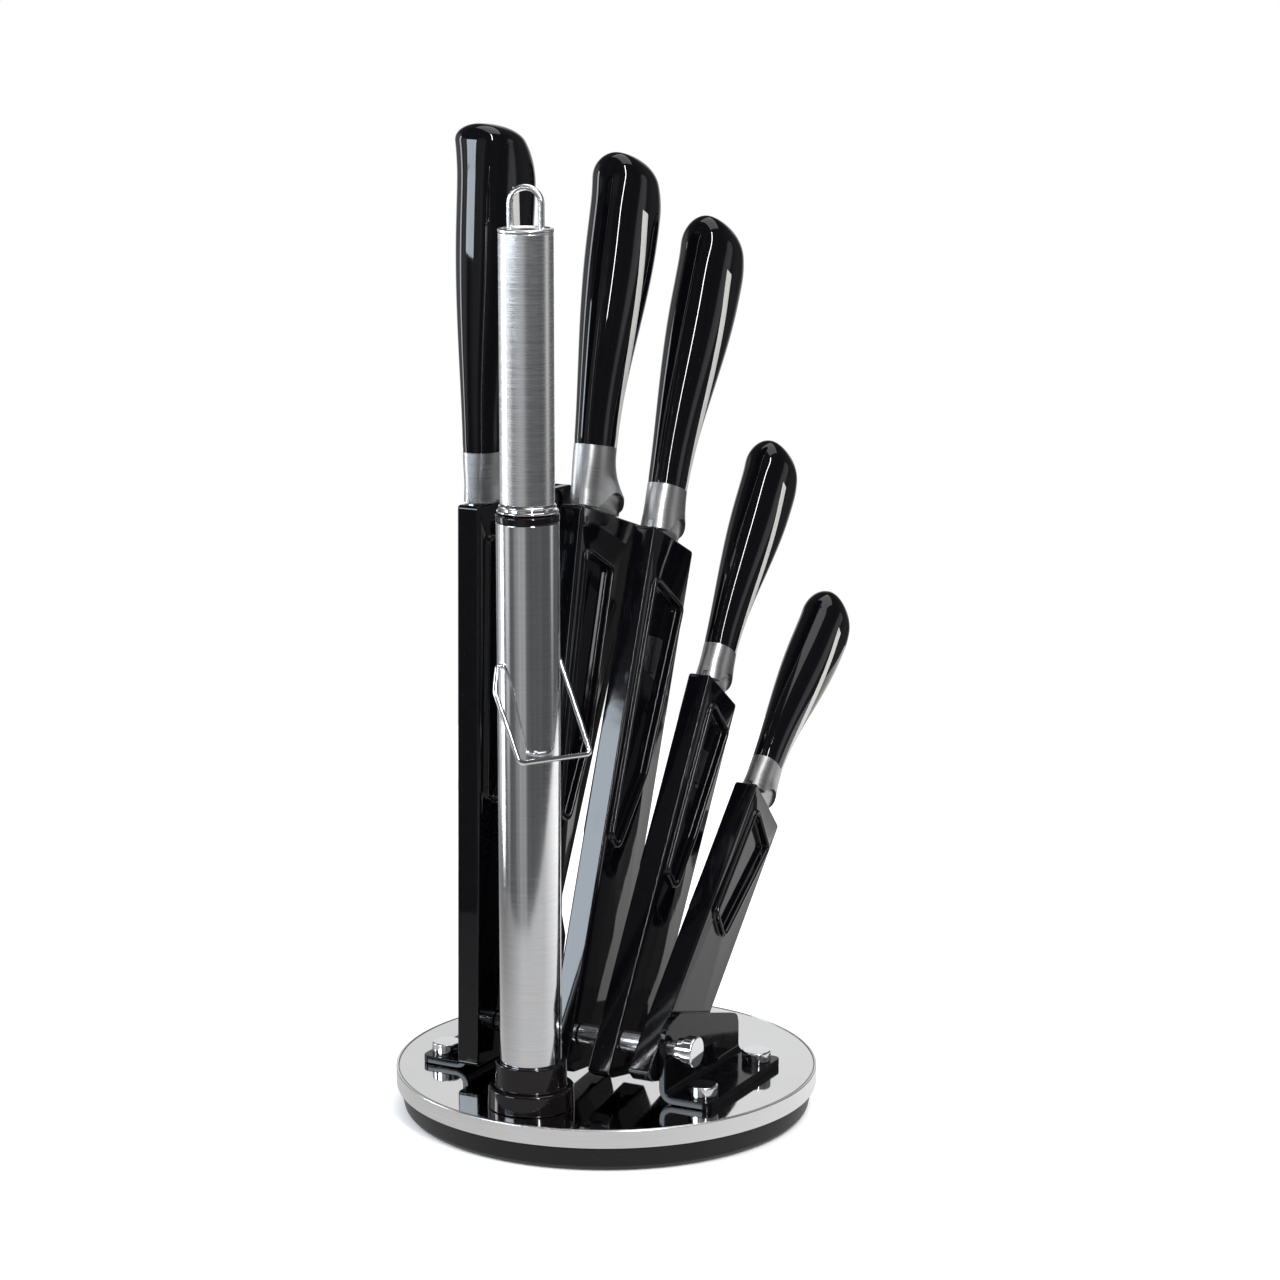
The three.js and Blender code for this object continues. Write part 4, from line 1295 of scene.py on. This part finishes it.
    def blade(self) -> None:
        """Builds the ground blade, thick at its spine and fine at its edge."""
        row = self.row
        tip, heel = row.mouth - row.blade, row.back + row.height
        path = open_fillet([(tip, row.back + 3.4), (row.mouth - row.blade * 0.62, row.back + row.height * 0.5),
                            (row.mouth - 20, heel - 1.5), (self.foot - 0.4, heel)], [0, 90, 60, 0], 10)
        count = 60
        rings = []
        for i in range(count + 1):
            z = tip + (self.foot + 2.0 - tip) * (i / count) ** 1.2
            edge = along(path, z)
            spine = row.back + 2.4 * max(0.0, 1 - (z - tip) / 8) ** 2
            if z > self.bottom(heel):
                slope = (row.rise - row.mouth) / (row.belly + row.spine)
                edge = min(edge, max((self.foot - z) / slope - row.spine, spine + 0.5 * row.neck))
            half = self.spine_thick / 2 * (0.75 + 0.25 * i / count)
            deep = edge - spine
            ring = [(half - 0.25, spine), (half, spine + 0.25), (half * 0.96, spine + deep * 0.35),
                    (0.28, edge - min(1.3, deep * 0.2)), (0.06, edge)]
            rings.append([(x, y, z) for x, y in ring] + [(-x, y, z) for x, y in reversed(ring)])
        self.add(f"ground_blade_{self.number}", rings, self.finishes.blade, 25, "satin_steel")


# ---------------------------------------------------------------- the room
@dataclass
class Softbox:
    """One soft light: where it is, where it looks and how it shines."""

    name: str
    at: Triple
    look: Triple
    size: Pair
    power: float
    color: Triple = (1.0, 1.0, 1.0)

    def build(self) -> None:
        """Adds the light."""
        data = bpy.data.lights.new(self.name, "AREA")
        data.shape = "RECTANGLE"
        data.size, data.size_y = (s * MM for s in self.size)
        data.energy = self.power
        data.color = self.color
        made = link(self.name, data)
        made.location = Vector(self.at) * MM
        made.rotation_euler = (Vector(self.look) - Vector(self.at)).to_track_quat("-Z", "Y").to_euler()


@dataclass
class Studio:
    """The camera, the pale floor, the soft room and its lights."""

    lens: float = 99.37
    camera_at: Triple = (607.07, -1134.22, 446.46)
    camera_turn: Triple = (90 - 11.69, 0.0, 27.59)
    floor_radius: float = 520.0
    floor_back: float = 160.0
    dim: float = 0.11
    fill: float = 1.05
    glows: tuple[tuple[float, float, float, float], ...] = (
        (117.4, 0.93, 0.80, 0.74), (-141.0, 0.985, 0.955, 0.85), (-90.0, 0.98, 0.86, 0.50), (36.0, 0.99, 0.97, 0.7),
        (180.0, 0.95, 0.85, 0.6))

    def build(self) -> None:
        """Builds the studio."""
        self.camera()
        self.floor()
        self.room()
        for light in self.lights():
            light.build()
        bpy.context.scene.view_settings.view_transform = "Standard"

    def camera(self) -> None:
        """Adds the camera."""
        data = bpy.data.cameras.new("camera")
        data.lens = self.lens
        data.clip_start, data.clip_end = 0.01, 50.0
        made = link("camera", data)
        made.location = Vector(self.camera_at) * MM
        made.rotation_euler = tuple(math.radians(a) for a in self.camera_turn)
        bpy.context.scene.camera = made

    def floor(self) -> None:
        """Adds the pale floor, a disc that glows only to mirrored rays."""
        draft = Draft()
        turns = [k / 48 * math.pi for k in range(96)]
        draft.bm.faces.new(draft.ring([(self.floor_radius * math.cos(t),
                                        self.floor_back + self.floor_radius * math.sin(t), 0) for t in turns]))
        sheet = Sheet("pale_floor")
        mirrored = sheet.node("LightPath").outputs["Is Glossy Ray"]
        spot = sheet.node("SeparateXYZ", Vector=sheet.place).outputs
        deep = sheet.remap(spot["Y"], -0.1, 0.32, 0.62, 1.25)
        wide = sheet.remap(spot["X"], -0.34, 0.0, 0.3, 1.0)
        sheet.set(Emission_Strength=sheet.product(mirrored, sheet.product(deep, wide)),
                  Emission_Color=(1.0, 0.99, 0.98, 1.0), Roughness=0.9, Specular_IOR_Level=0.0,
                  Base_Color=sheet.blend(mirrored, (0.97, 0.97, 0.97, 1.0), (0.0, 0.0, 0.0, 1.0)))
        draft.piece("floor", sheet.material)

    def room(self) -> None:
        """Builds the world: white to the camera, a soft room to everything else."""
        world = bpy.data.worlds.new("room")
        world.use_nodes = True
        world.node_tree.nodes.clear()
        bpy.context.scene.world = world
        sheet = NodeSheet(world.node_tree)
        rays = sheet.node("LightPath").outputs
        place = sheet.node("TexCoord").outputs["Generated"]
        glow: Socket | float = self.dim
        for azimuth, near, far, strength in self.glows:
            way = math.radians(azimuth)
            facing = sheet.vectors("DOT_PRODUCT", place, (math.cos(way), math.sin(way), 0.0)).outputs["Value"]
            glow = sheet.math("MAXIMUM", glow, sheet.remap(facing, far, near, 0.0, strength))
        level = sheet.vectors("MULTIPLY", place, (1.0, 1.0, 0.05)).outputs[0]
        bands = sheet.remap(sheet.noise(level, 2.6, 2.0), 0.3, 0.6, 0.6, 1.15)
        lit = sheet.math("ADD", sheet.product(glow, bands, rays["Is Glossy Ray"]),
                         sheet.product(rays["Is Diffuse Ray"], self.fill))
        tint = sheet.blend(rays["Is Glossy Ray"], (1.0, 1.0, 1.0, 1.0), (0.98, 0.99, 1.0, 1.0))
        shown = sheet.node("Background", Color=tint, Strength=sheet.math("ADD", lit, rays["Is Camera Ray"]))
        sheet.node("OutputWorld", Surface=shown.outputs[0])

    def lights(self) -> list[Softbox]:
        """Returns the soft lights."""
        return [
            Softbox("left_panel", (-470, -820, 430), (0, 0, 120), (400, 240), 4.2, (0.80, 0.90, 1.0)),
            Softbox("right_strip", (960, -850, 1100), (20, 0, 230), (75, 1250), 20.0),
            Softbox("far_left", (-1100, -300, 260), (0, 0, 200), (200, 900), 4.0, (0.88, 0.93, 1.0)),
            Softbox("overhead", (100, 200, 1500), (0, 0, 100), (1300, 1000), 9.0),
        ]


def stand() -> None:
    """Builds the stand from the frame's own places."""
    logging.basicConfig(level=logging.INFO, format="%(message)s")
    finishes = Finishes(Effects())
    # The rod's middle is 2.25 mm right of X = 0, so what is turned about it stands that far to the right.
    rod = middle_of("cross_rod")
    tube = middle_of("holder_tube")
    Base(finishes).build()
    CrossRod(finishes, rod).build()
    for side in (-1, 1):
        Bracket(finishes, side, rod).build()
    SteelHolder(finishes, tube).build()
    HoningSteel(finishes, tube).build()
    axes = {joint["child"]: joint["axis"] for joint in frame["joints"]}
    for i, row in enumerate(ROWS):
        number = i + 1
        _, across, up = axes[f"knife_{number}"]
        lean = math.atan2(across, up)
        middle = middle_of(f"knife_handle_{number}").x
        place = Matrix.Translation((middle, rod.y, rod.z)) @ Matrix.Rotation(-lean, 4, "X")
        Sheath(finishes, number, row, place, lean).build()
        Knife(finishes, number, row, place, lean).build()
    Studio().build()


def main() -> None:
    """Builds the scene."""
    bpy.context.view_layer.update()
    stand()


if __name__ == "__main__":
    main()
